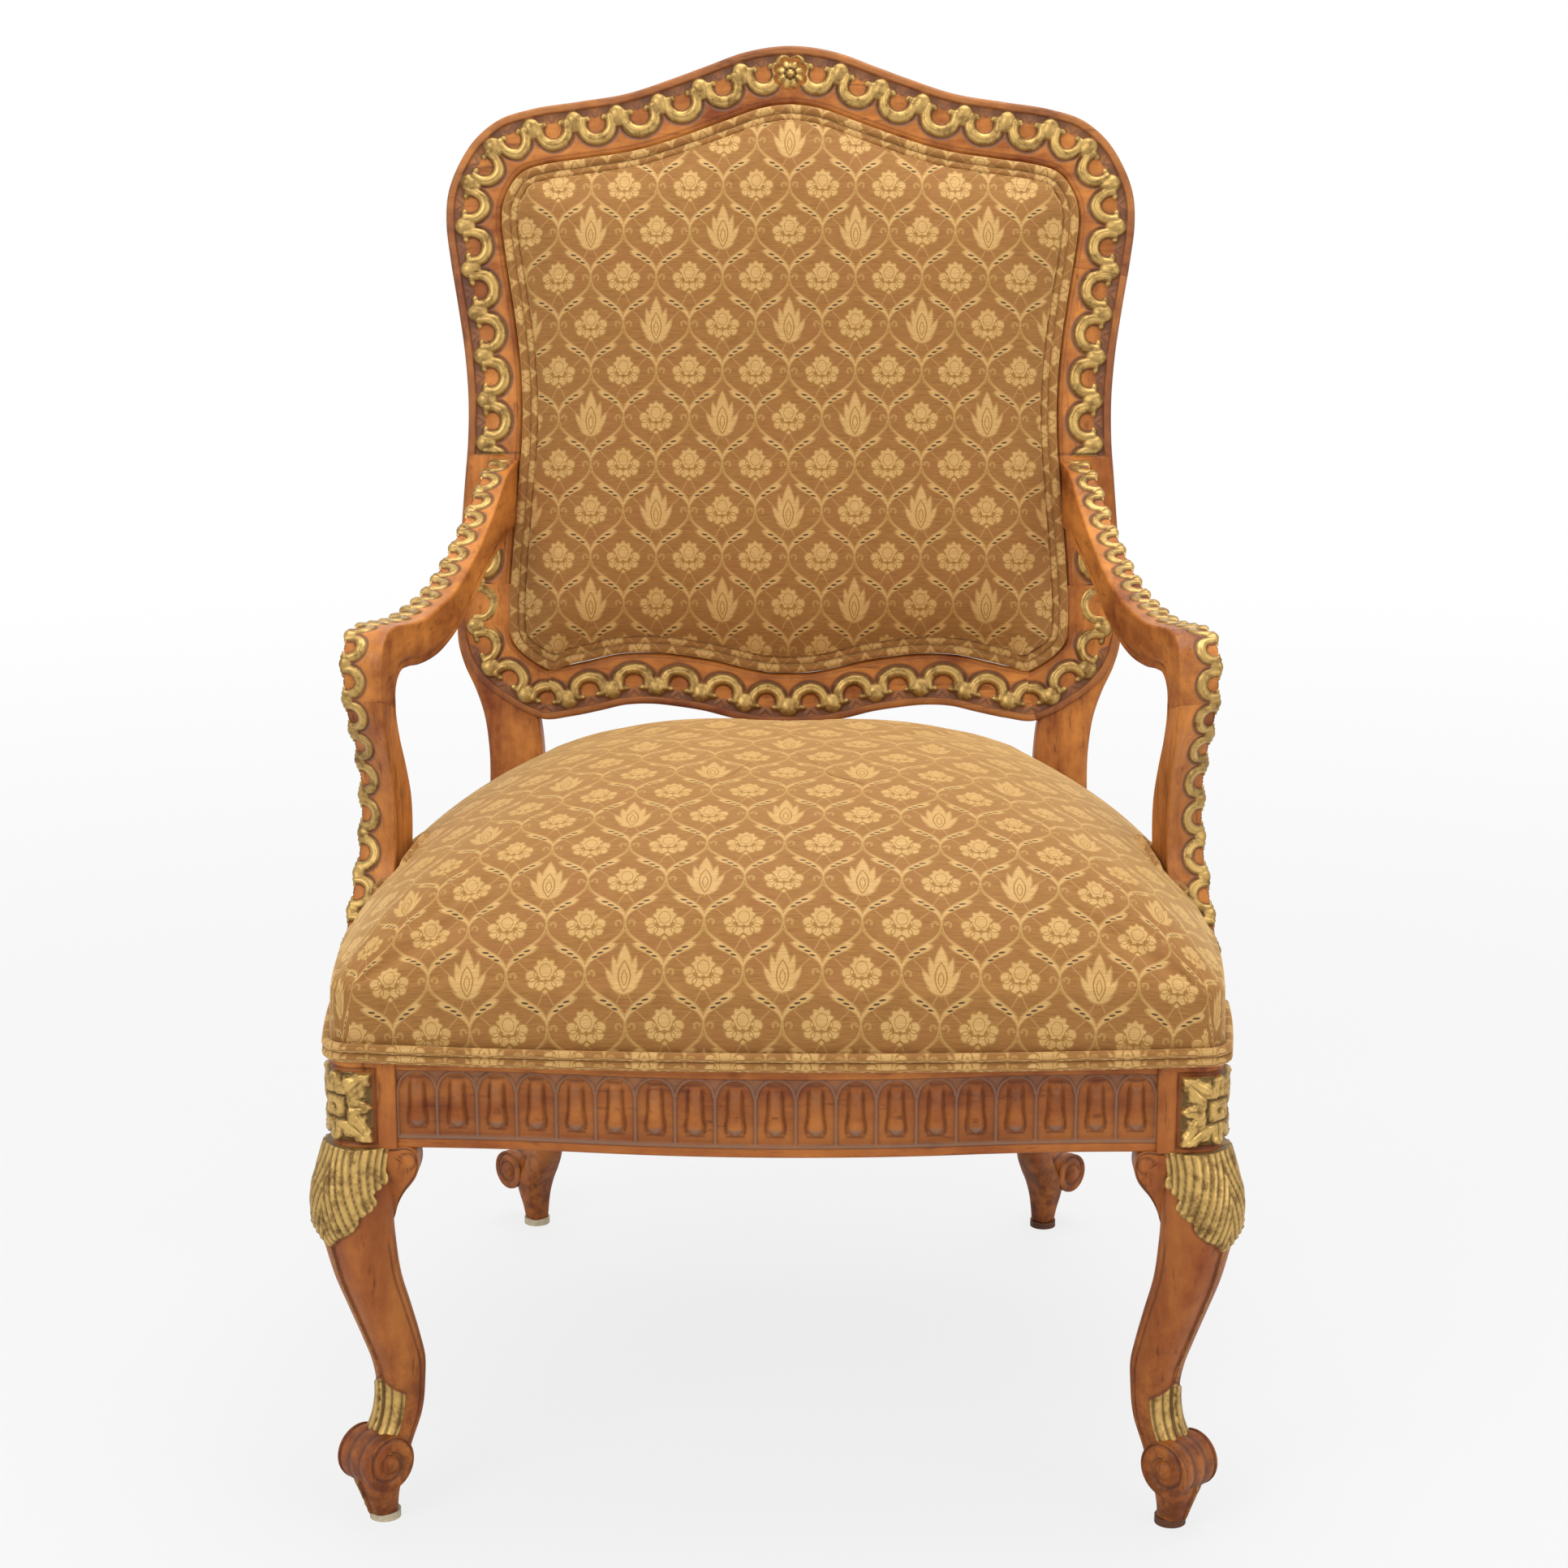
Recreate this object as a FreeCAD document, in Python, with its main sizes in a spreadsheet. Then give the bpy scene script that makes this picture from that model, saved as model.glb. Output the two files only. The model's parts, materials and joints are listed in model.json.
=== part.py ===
import FreeCAD, Part
import math
import os
from types import SimpleNamespace
from FreeCAD import Placement, Rotation, Vector

# Upholstered open armchair. X points to the chair's left-hand side as seen from the front (viewer's right),
# Y points to the back, Z up. The origin lies on the floor under the middle of the chair. Millimetres.

document = FreeCAD.newDocument("fauteuil")
sheet = document.addObject("Spreadsheet::Sheet", "sizes")

driving_sizes = {
    # seat frame
    "rail_bottom": 308,
    "rail_depth": 68,
    "rail_thickness": 28,
    "rail_setback": 3,
    "corner_half_width": 330,
    "corner_front": 340,
    "corner_side": 50,
    "corner_round": 20,
    "front_bow": 18,
    "side_bow": 35,
    # rear posts
    "post_outer": 268,
    "post_width": 47,
    "post_front": 198,
    "post_thickness": 50,
    "post_straight": 400,
    # front legs, measured on the diagonal of the corner
    "knee_across": 57,
    "knee_height": 262,
    "knee_throw": 10,
    "ankle_across": 33,
    "ankle_height": 110,
    "ankle_throw": 23,
    "foot_across": 19,
    "foot_throw": 5,
    "scroll_radius": 20,
    "scroll_height": 56,
    "scroll_throw": 4,
    "scroll_half_length": 16,
    "boss_radius": 8,
    "boss_height": 1.5,
    "ear_reach": 19,
    "ear_drop": 52,
    "ear_thickness": 26,
    # rear legs
    "rear_foot_half": 243,
    "rear_foot_back": 310,
    "rear_ankle_half": 232,
    "rear_ankle_back": 286,
    "rear_ankle_height": 88,
    "rear_leg_across": 40,
    "rear_scroll_radius": 17.5,
    "rear_scroll_out": 15.5,
    # glides
    "glide_radius": 12,
    "glide_height": 6,
    "nail_radius": 1.6,
    "nail_length": 18,
    # back frame, in the plane of its front face
    "back_lean": 10.7,
    "back_base_height": 515,
    "back_thickness": 28,
    "crest_height": 598,
    "crest_rise": 65,
    "shoulder_half": 306.5,
    "shoulder_height": 440,
    "waist_half": 287.5,
    "waist_height": 265,
    "hip_half": 296.5,
    "hip_height": 85,
    "lower_edge": 5,
    "lower_rise": 18,
    "top_band": 52,
    "side_band": 48,
    "hip_band": 44.5,
    "lower_band": 46,
    "crest_joint": 395,
    "ledge_width": 12,
    "front_rebate": 10,
    "rear_rebate": 6,
    # arms, in the plane of their inner face
    "arm_rear_inner": 241.6,
    "arm_rear_width": 24,
    "arm_front_inner": 301.8,
    "arm_front_width": 34,
    "arm_rear_station": 263,
    "arm_front_station": 167,
    "arm_reach": 450,
    "arm_rear_top": 745,
    "arm_front_top": 663,
    "arm_rear_depth": 60,
    "arm_depth": 36,
    "support_depth": 40,
    "arm_joint_height": 612,
    # fasteners
    "dowel_radius": 5,
    "dowel_half": 24,
    "screw_radius": 2.2,
    "screw_head_radius": 4.4,
    "fit_clearance": 0.1,
    "soft_clearance": 0.3,
    "block_side": 62,
    "block_depth": 40,
    "block_screw_length": 34,
    "arm_screw_length": 62,
    "tack_radius": 1.2,
    "tack_head_radius": 4,
    "tack_length": 10,
    # seat upholstery
    "cushion_crown": 548,
    "cushion_overhang": 1,
    "cushion_bulge": 2,
    "cover_thickness": 1.6,
    "wadding_thickness": 14,
    "web_width": 50,
    "web_thickness": 2,
    "web_pitch": 92,
    "hessian_thickness": 1,
    "welt_radius": 3.6,
    "dust_cover_thickness": 1,
    "dust_cover_margin": 14,
    # back upholstery
    "back_crown": 30,
    "back_welt_width": 16,
    "back_welt_height": 6,
    "outer_cover_thickness": 2,
    "outer_welt_height": 4,
}

for row, (alias, value) in enumerate(driving_sizes.items(), start=1):
    sheet.set(f"A{row}", alias)
    sheet.set(f"B{row}", str(value))
    sheet.setAlias(f"B{row}", alias)
document.recompute()
s = SimpleNamespace(**{alias: float(sheet.get(alias)) for alias in driving_sizes})

rail_top = s.rail_bottom + s.rail_depth
front_face = -s.corner_front
block_back = front_face + s.corner_side
block_inner = s.corner_half_width - s.corner_side
post_inner = s.post_outer - s.post_width
post_back = s.post_front + s.post_thickness
front_corner = (s.corner_half_width - s.corner_side / 2, front_face + s.corner_side / 2)
tall = 3 * s.crest_height

node_objects = []


def keep(obj, label):
    """Name an object as a sub-part."""
    obj.Label = label
    node_objects.append(obj)
    return obj


def feature(label, shape):
    """A sub-part whose shape comes from the geometry functions below."""
    obj = document.addObject("Part::Feature", label)
    obj.Shape = shape
    return keep(obj, label)


def mirrored(label, source):
    """The same piece on the other side of the chair."""
    obj = document.addObject("Part::Mirroring", label)
    obj.Source = source
    obj.Normal = Vector(1, 0, 0)
    return keep(obj, label)


def bound(kind, name, **expressions):
    """A primitive whose sizes and place are bound to the sheet."""
    obj = document.addObject(kind, name)
    for path, expression in expressions.items():
        obj.setExpression(path.replace("place_", "Placement.Base."), expression)
    return obj


def group(label, members):
    """Separate like solids that share one node."""
    obj = document.addObject("Part::Compound", label)
    obj.Links = members
    return keep(obj, label)


def polygon_face(points):
    wire = Part.makePolygon(points + [points[0]])
    return Part.Face(wire)


def through(points):
    """An edge through the given stations."""
    curve = Part.BSplineCurve()
    curve.interpolate(Points=points)
    return curve.toShape()


def closed_through(points):
    """A closed wire through the given stations."""
    curve = Part.BSplineCurve()
    curve.interpolate(Points=points, PeriodicFlag=True)
    return Part.Wire([curve.toShape()])


def arc(start, middle, end):
    return Part.Arc(start, middle, end).toShape()


def rod(radius, start, end):
    return Part.makeCylinder(radius, (end - start).Length, start, end - start)


def both_sides(shape):
    return [shape, shape.mirror(Vector(0, 0, 0), Vector(1, 0, 0))]


def ring_face(outer, inner):
    """Flat face between two outlines, one inside the other."""
    return Part.makeFace([outer, inner], "Part::FaceMakerBullseye")


def refined(stations, steps):
    """Stations with steps between each two of them, on a cubic with the slopes of the neighbours' chords."""
    def slope(index, column):
        low = stations[max(index - 1, 0)]
        high = stations[min(index + 1, len(stations) - 1)]
        return (high[column] - low[column]) / (high[0] - low[0])

    rows = []
    for index, (start, end) in enumerate(zip(stations[:-1], stations[1:])):
        run = end[0] - start[0]
        for step in range(steps):
            share = step / steps
            ease = share * share * (3 - 2 * share)
            leave = share * (1 - share) ** 2 * run
            arrive = -share * share * (1 - share) * run
            row = [start[0] + share * run]
            for column in range(1, len(start)):
                blend = start[column] + (end[column] - start[column]) * ease
                row.append(blend + leave * slope(index, column) + arrive * slope(index + 1, column))
            rows.append(tuple(row))
    return rows + [stations[-1]]


# Seat frame in plan

def serpentine(x):
    """Distance of the front rail's face ahead of its ends: two equal arcs on each side that meet half way."""
    half = block_inner / 2
    radius = (half ** 2 + (s.front_bow / 2) ** 2) / s.front_bow
    if abs(x) < half:
        return s.front_bow - radius + math.sqrt(radius ** 2 - x ** 2)
    return radius - math.sqrt(radius ** 2 - (block_inner - abs(x)) ** 2)


def side_rail_arc(offset, height):
    """Bowed line of the right side rail, offset inwards from its outer face."""
    front = Vector(s.corner_half_width - s.rail_setback - offset, block_back, height)
    rear = Vector(s.post_outer - s.rail_setback - offset, s.post_front, height)
    middle = (front + rear) / 2 + Vector(s.side_bow, 0, 0)
    return front, middle, rear


def front_rail_shape():
    """Serpentine face in front, straight face behind."""
    face_y = front_face + s.rail_setback
    half = block_inner / 2
    quarter = half / 2
    crossings = [-block_inner, -half, half, block_inner]
    middles = [-half - quarter, 0, half + quarter]
    edges = []
    for left, middle, right in zip(crossings[:-1], middles, crossings[1:]):
        ends = [Vector(x, face_y - serpentine(x), s.rail_bottom) for x in (left, middle, right)]
        edges.append(arc(*ends))
    back_y = face_y + s.rail_thickness
    corners = [
        Vector(block_inner, face_y, s.rail_bottom),
        Vector(block_inner, back_y, s.rail_bottom),
        Vector(-block_inner, back_y, s.rail_bottom),
        Vector(-block_inner, face_y, s.rail_bottom),
    ]
    edges += Part.makePolygon(corners).Edges
    face = Part.Face(Part.Wire(Part.__sortEdges__(edges)))
    return face.extrude(Vector(0, 0, s.rail_depth))


def side_rail_shape():
    outer = side_rail_arc(0, s.rail_bottom)
    inner = side_rail_arc(s.rail_thickness, s.rail_bottom)
    edges = [
        arc(*outer),
        Part.makeLine(outer[2], inner[2]),
        arc(*reversed(inner)),
        Part.makeLine(inner[0], outer[0]),
    ]
    return Part.Face(Part.Wire(edges)).extrude(Vector(0, 0, s.rail_depth))


# Legs

def turned_section(centre, along, across, radius, turn):
    """Rounded rectangle at a height, turned about the vertical: four lines and four quarter arcs."""
    half_u = along / 2
    half_w = across / 2
    inner_u = half_u - radius
    inner_w = half_w - radius
    bulge = radius * math.sqrt(0.5)
    corners = [(1, 1), (-1, 1), (-1, -1), (1, -1)]
    points = []
    for u_sign, w_sign in corners:
        start = (u_sign * half_u, w_sign * inner_w)
        middle = (u_sign * (inner_u + bulge), w_sign * (inner_w + bulge))
        end = (u_sign * inner_u, w_sign * half_w)
        trio = [start, middle, end]
        points.append(trio if u_sign == w_sign else trio[::-1])
    place = Placement(centre, Rotation(Vector(0, 0, 1), turn))
    points = [[place.multVec(Vector(u, w, 0)) for u, w in trio] for trio in points]
    edges = []
    for trio, following in zip(points, points[1:] + points[:1]):
        edges.append(arc(*trio))
        edges.append(Part.makeLine(trio[2], following[0]))
    return Part.Wire(edges)


def scroll(centre, radius, turn):
    """Rolled foot: a drum across the leg with a small boss at each end."""
    across = Rotation(Vector(0, 0, 1), turn).multVec(Vector(0, 1, 0))
    drum = rod(radius, centre - across * s.scroll_half_length, centre + across * s.scroll_half_length)
    boss_end = s.scroll_half_length + s.boss_height
    boss = rod(s.boss_radius, centre - across * boss_end, centre + across * boss_end)
    return drum.fuse(boss)


def front_leg_shape():
    """Cabriole leg on the diagonal of the corner, with the corner block on top."""
    outward = Vector(1, -1, 0) * math.sqrt(0.5)
    knee = s.knee_across
    ankle = s.ankle_across
    foot = s.foot_across
    fall = s.knee_height - s.ankle_height
    # height, throw along the diagonal, size along and across it
    stations = [
        (s.rail_bottom, 0, knee - 6, knee - 6),
        (s.rail_bottom - 20, 0.5 * s.knee_throw, knee - 3, knee - 7),
        (s.knee_height, s.knee_throw, knee, knee - 7),
        (s.knee_height - 0.12 * fall, 1.1 * s.knee_throw, knee - 9, knee - 11),
        (s.knee_height - 0.4 * fall, 0.5 * s.knee_throw, knee - 14.5, knee - 17),
        (s.knee_height - 0.6 * fall, -0.3 * s.ankle_throw, ankle + 8, ankle + 5),
        (s.knee_height - 0.8 * fall, -0.74 * s.ankle_throw, ankle + 4.5, ankle + 2.5),
        (s.ankle_height, -s.ankle_throw, ankle, ankle - 1),
        (s.scroll_height + 1.4 * s.scroll_radius, -0.85 * s.ankle_throw, ankle - 3, ankle - 1),
        (s.scroll_height, -0.5 * s.ankle_throw, ankle - 3, ankle - 1),
        (s.scroll_height - s.scroll_radius, -s.foot_throw, foot + 8, foot + 9),
        (s.glide_height, -s.foot_throw, foot, foot),
    ]
    corner = Vector(front_corner[0], front_corner[1], 0)
    sections = []
    for height, throw, along, across in refined(stations, 2):
        centre = corner + outward * throw + Vector(0, 0, height)
        sections.append(turned_section(centre, along, across, 0.24 * min(along, across), -45))
    leg = Part.makeLoft(sections, True, True)
    scroll_centre = corner + outward * s.scroll_throw + Vector(0, 0, s.scroll_height)
    return leg.fuse([scroll(scroll_centre, s.scroll_radius, -45), corner_block_shape()]).removeSplitter()


def corner_block_shape():
    """Square block between the rails, rounded at its outer corner."""
    outer = s.corner_half_width
    round_off = s.corner_round
    bulge = round_off * (1 - math.sqrt(0.5))
    corners = [
        Vector(outer, front_face + round_off, s.rail_bottom),
        Vector(outer, block_back, s.rail_bottom),
        Vector(block_inner, block_back, s.rail_bottom),
        Vector(block_inner, front_face, s.rail_bottom),
        Vector(outer - round_off, front_face, s.rail_bottom),
    ]
    middle = Vector(outer - bulge, front_face + bulge, s.rail_bottom)
    edges = Part.makePolygon(corners).Edges + [arc(corners[-1], middle, corners[0])]
    return Part.Face(Part.Wire(edges)).extrude(Vector(0, 0, s.rail_depth))


def ear_shape(leg):
    """Small bracket under the front rail beside the knee, hollowed by a quarter arc."""
    inner = block_inner - s.ear_reach
    outer = front_corner[0]
    low = s.rail_bottom - s.ear_drop
    shoulder = s.rail_bottom - 0.35 * s.ear_drop
    face_y = front_face + s.rail_setback
    corners = [
        Vector(inner + 1.3 * s.ear_reach, face_y, low),
        Vector(outer, face_y, low),
        Vector(outer, face_y, s.rail_bottom),
        Vector(inner, face_y, s.rail_bottom),
        Vector(inner, face_y, shoulder),
    ]
    middle = (corners[0] + corners[-1]) / 2 + Vector(-1, 0, -2)
    edges = Part.makePolygon(corners).Edges + [arc(corners[-1], middle, corners[0])]
    ear = Part.Face(Part.Wire(edges)).extrude(Vector(0, s.ear_thickness, 0))
    return ear.cut(leg)


def side_ear_shape(front_ear):
    """The front ear turned about the corner's diagonal, so that it lies under the side rail."""
    corner = Vector(front_corner[0], front_corner[1], 0)
    return front_ear.mirror(corner, Vector(1, 1, 0))


def rear_leg_shape():
    """Raking cabriole rear leg below the seat rails."""
    top = Vector(s.post_outer - s.post_width / 2, s.post_front + s.post_thickness / 2, s.rail_bottom)
    ankle = Vector(s.rear_ankle_half, s.rear_ankle_back, s.rear_ankle_height)
    foot = Vector(s.rear_foot_half, s.rear_foot_back, s.glide_height)
    size = s.rear_leg_across
    # share of the way from the seat to the ankle, bulge outwards, size
    stations = []
    for share, bulge, across in [(0.0, 0, size), (0.18, 4, size + 1), (0.4, 6, size - 1), (0.7, 3, size - 7)]:
        sway = 1 - math.cos(share * math.pi / 2)
        stations.append((
            top.z + (ankle.z - top.z) * share,
            top.x + bulge + (ankle.x - top.x) * share,
            top.y + (ankle.y - top.y) * (0.45 * share + 0.55 * sway),
            across,
        ))
    stations += [
        (ankle.z, ankle.x, ankle.y, size - 9.5),
        (s.scroll_height, (ankle.x + foot.x) / 2, (ankle.y + foot.y) / 2, size - 10),
        (s.scroll_height / 2, foot.x - 1, foot.y - 1, size - 14),
        (foot.z, foot.x, foot.y, s.foot_across),
    ]
    sections = []
    for height, x, y, across in refined(stations, 2):
        sections.append(turned_section(Vector(x, y, height), across, across, 0.24 * across, 45))
    leg = Part.makeLoft(sections, True, True)
    roll = foot + Vector(s.rear_scroll_out, s.rear_scroll_out, s.scroll_height - s.glide_height - 4)
    return leg.fuse(scroll(roll, s.rear_scroll_radius, 45)).removeSplitter()


# Back frame, drawn flat: X across, Y up the back, Z towards the sitter

lean = math.radians(s.back_lean)
back_base_y = s.post_front + (s.back_base_height - s.post_straight) * math.tan(lean)
back_base = Vector(0, back_base_y, s.back_base_height)
back_place = Placement(back_base, Rotation(Vector(1, 0, 0), 90 - s.back_lean))

# share of the half width, share of the rise
crest_line = [
    (0.0, 0.0), (0.1, 0.055), (0.245, 0.277), (0.36, 0.47),
    (0.473, 0.635), (0.62, 0.76), (0.754, 0.86), (0.845, 1.0),
]
shoulder_line = [(0.43, 0.17), (0.76, 0.42), (0.96, 0.72), (1.0, 1.0)]
lower_line = [(0.81, 0.35), (0.667, 0.75), (0.515, 1.0), (0.4, 0.87), (0.206, 0.42), (0.0, 0.0)]


def on_back(shape):
    """Move a shape that is drawn flat into the leaning back."""
    moved = shape.copy()
    moved.Placement = back_place.multiply(moved.Placement)
    return moved


def top_half(half_width, top, rise, shoulder):
    """Right half of an arched top: ogee crest line, then the rounded shoulder."""
    points = [(share * half_width, top - fall * rise) for share, fall in crest_line]
    start_x, start_v = points[-1]
    for across, fall in shoulder_line:
        points.append((start_x + across * (half_width - start_x), start_v - fall * (start_v - shoulder)))
    return points


def outer_half():
    points = top_half(s.shoulder_half, s.crest_height, s.crest_rise, s.shoulder_height)
    waist_drop = s.shoulder_height - s.waist_height
    points += [
        (s.waist_half + 0.46 * (s.shoulder_half - s.waist_half), s.shoulder_height - 0.42 * waist_drop),
        (s.waist_half, s.waist_height),
        ((s.waist_half + s.hip_half) / 2, (s.waist_height + s.hip_height) / 2),
        (s.hip_half, s.hip_height),
        (s.hip_half - 0.17 * (s.hip_half - s.post_outer), 0.56 * s.hip_height),
        (s.hip_half - 0.8 * (s.hip_half - s.post_outer), 0.05 * s.hip_height),
    ]
    return points


def inner_half():
    """Right half of the opening that the upholstery fills."""
    half = s.shoulder_half - s.side_band
    waist = s.waist_half - s.side_band
    hip = s.hip_half - s.hip_band
    floor_line = s.lower_band - s.lower_edge
    points = top_half(half, s.crest_height - s.top_band, 0.85 * s.crest_rise, s.shoulder_height)
    points += [
        (waist + 0.46 * (half - waist), s.shoulder_height - 0.46 * (s.shoulder_height - s.waist_height)),
        (waist, s.waist_height - 20),
        (waist + 0.4 * (hip - waist), s.waist_height - 0.6 * (s.waist_height - s.hip_height)),
        (hip, floor_line + 0.44 * s.side_band + 38),
        (hip - 9, floor_line + 22),
        (hip - 24, floor_line + 11.5),
    ]
    points += [(share * hip, floor_line + rise * (s.lower_rise + 2)) for share, rise in lower_line]
    return points


def whole(half_points):
    """Both halves of a symmetrical outline, whose half runs from the top centre to the bottom centre."""
    left = [(-x, v) for x, v in reversed(half_points[1:-1])]
    return half_points + left


def shrunk(points, distance):
    """The closed outline moved inwards by a distance, square to its run."""
    moved = []
    count = len(points)
    for index, (x, v) in enumerate(points):
        before = points[index - 1]
        after = points[(index + 1) % count]
        run = math.hypot(after[0] - before[0], after[1] - before[1])
        across = (after[1] - before[1]) / run
        along = (after[0] - before[0]) / run
        moved.append((x + distance * across, v - distance * along))
    return moved


def opening_wire(distance, level):
    return closed_through([Vector(x, v, level) for x, v in shrunk(whole(inner_half()), distance)])


def opening_slab(distance, low, high):
    """The back's opening, drawn in by a distance, as a slab between two levels."""
    return Part.Face(opening_wire(distance, low)).extrude(Vector(0, 0, high - low))


def opening_ring(outer, inner, low, high):
    """Band between two drawn-in copies of the opening, between two levels."""
    return ring_face(opening_wire(outer, low), opening_wire(inner, low)).extrude(Vector(0, 0, high - low))


def pad_wire(distance, level, draw):
    """The drawn-in opening, pulled in further towards the middle of the back."""
    points = shrunk(whole(inner_half()), distance)
    heights = [v for _, v in points]
    middle = 0.5 * (max(heights) + min(heights))
    across = 1 - draw / max(x for x, _ in points)
    upward_share = 1 - draw / (max(heights) - middle)
    moved = [Vector(x * across, middle + (v - middle) * upward_share, level) for x, v in points]
    return closed_through(moved)


def frame_slab():
    """The whole back frame with the stiles running down, before it is divided into its pieces."""
    half = outer_half()
    foot = -s.back_base_height
    right = through([Vector(x, v, 0) for x, v in half])
    left = through([Vector(-x, v, 0) for x, v in half])
    end_x, end_v = half[-1]
    edge_scale = post_inner / lower_line[0][0] / 1.12
    lower = [(share * edge_scale, -s.lower_edge + rise * s.lower_rise) for share, rise in lower_line]
    lower = [(post_inner, -s.lower_edge + 3)] + lower
    lower_points = [Vector(x, v, 0) for x, v in lower] + [Vector(-x, v, 0) for x, v in reversed(lower[:-1])]
    side = [
        Vector(end_x, end_v, 0),
        Vector(s.post_outer, -30, 0),
        Vector(s.post_outer, foot, 0),
        Vector(post_inner, foot, 0),
        lower_points[0],
    ]
    other = [Vector(-p.x, p.y, 0) for p in reversed(side)]
    edges = [right] + Part.makePolygon(side).Edges + [through(lower_points)]
    edges += Part.makePolygon(other).Edges + [left]
    face = Part.Face(Part.Wire(Part.__sortEdges__(edges)))
    slab = face.extrude(Vector(0, 0, -tall))
    slab.translate(Vector(0, 0, tall / 2))
    return slab


def framed(piece):
    """Cut the opening and the rebates for the inside and outside coverings into a piece of the frame."""
    through_cut = on_back(opening_slab(s.ledge_width, -tall / 2, tall / 2))
    front_cut = on_back(opening_slab(0, -s.front_rebate, tall / 2))
    rear_cut = on_back(opening_slab(0, -tall / 2, -s.back_thickness + s.rear_rebate))
    return piece.cut([through_cut, front_cut, rear_cut])


def flat_box(x_low, x_high, v_low, v_high, low=None, high=None):
    low = -s.back_thickness if low is None else low
    high = 0 if high is None else high
    box = Part.makeBox(x_high - x_low, v_high - v_low, high - low, Vector(x_low, v_low, low))
    return on_back(box)


def stile_side_profile():
    """Side view of a rear post above the rails' lower edge, as a slab across the chair."""
    up = Vector(0, math.sin(lean), math.cos(lean))
    back = Vector(0, math.cos(lean), -math.sin(lean))
    top = back_base + up * s.crest_joint
    low = back_base - up * 10
    points = [
        Vector(0, s.post_front, s.rail_bottom),
        Vector(0, s.post_front, s.post_straight),
        top,
        top + back * s.back_thickness,
        low + back * (s.back_thickness + 4),
        Vector(0, post_back, s.post_straight - 10),
        Vector(0, post_back, s.rail_bottom),
    ]
    slab = polygon_face(points).extrude(Vector(s.shoulder_half + s.post_width, 0, 0))
    return slab


def rear_post_shape():
    slab = on_back(frame_slab())
    stile = slab.common(stile_side_profile()).cut(
        Part.makeBox(post_inner, tall, tall, Vector(0, -tall / 2, 0))
    )
    stile = framed(stile)
    return stile.fuse(rear_leg_shape()).removeSplitter()


def crest_rail_shape():
    reach = 2 * s.shoulder_half
    crest = on_back(frame_slab()).common(flat_box(-reach, reach, s.crest_joint, 2 * s.crest_height))
    return framed(crest)


def lower_back_rail_shape():
    low = -4 * s.lower_edge
    rail = on_back(frame_slab()).common(flat_box(-post_inner, post_inner, low, s.waist_height))
    return framed(rail)


# Arms, drawn in the vertical plane of their inner face

arm_rear = Vector(s.arm_rear_inner, s.arm_rear_station, 0)
arm_front = Vector(s.arm_front_inner, -s.arm_front_station, 0)
arm_run = (arm_front - arm_rear).normalize()
arm_out = Vector(0, 0, 1).cross(arm_run)

# share of the reach, share of the fall from the rear to the knuckle
arm_top_line = [(0.0, 0.0), (0.17, 0.35), (0.33, 0.75), (0.5, 1.0), (0.68, 1.1), (0.82, 1.075), (0.93, 1.0)]
# height share from the rail to the joint, lead of the front line ahead of the waist
support_front_line = [
    (0.0, 72), (0.1, 62), (0.2, 46), (0.32, 30), (0.45, 10),
    (0.58, 0), (0.72, 4), (0.86, 20), (1.0, 34),
]
support_thickness = [
    (0.0, 1.5), (0.1, 1.45), (0.2, 1.4), (0.32, 1.3), (0.45, 1.2),
    (0.58, 1.15), (0.72, 1.0), (0.86, 0.94), (1.0, 0.86),
]


def arm_point(reach, height):
    return arm_rear + arm_run * reach + Vector(0, 0, height)


def arm_tops():
    fall = s.arm_rear_top - s.arm_front_top
    return [(share * s.arm_reach, s.arm_rear_top - drop * fall) for share, drop in arm_top_line]


def arm_depth_at(reach):
    """The arm is deepest where it meets the stile and thins out towards the middle."""
    share = min(reach / (0.5 * s.arm_reach), 1)
    return s.arm_depth + (s.arm_rear_depth - s.arm_depth) * (1 - share) ** 2


def support_lines():
    """Front and back stations of the arm support, from the rail up to the joint."""
    rise = s.arm_joint_height - rail_top
    waist = s.arm_reach - 36
    front = [(waist + lead, rail_top + share * rise) for share, lead in support_front_line]
    widths = [wide for _, wide in support_thickness]
    back = [(reach - s.support_depth * wide, height) for (reach, height), wide in zip(front, widths)]
    return front, back


def arm_plan():
    """Plan of the arm and its support: a strip that widens from the stile to the knuckle."""
    wide = s.arm_front_width - s.arm_rear_width
    length = (arm_front - arm_rear).Length
    extra = s.arm_reach
    strip = []
    for reach in (-s.back_thickness, length + extra):
        inner = arm_point(reach, 0)
        strip.append((inner, inner + arm_out * (s.arm_rear_width + wide * reach / length)))
    corners = [strip[0][0], strip[1][0], strip[1][1], strip[0][1]]
    return polygon_face(corners).extrude(Vector(0, 0, tall))


def in_arm_plane(wire):
    """Solid of the arm's width from an outline in its plane."""
    width = 2 * s.arm_front_width
    return Part.Face(wire).extrude(arm_out * width).common(arm_plan())


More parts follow.
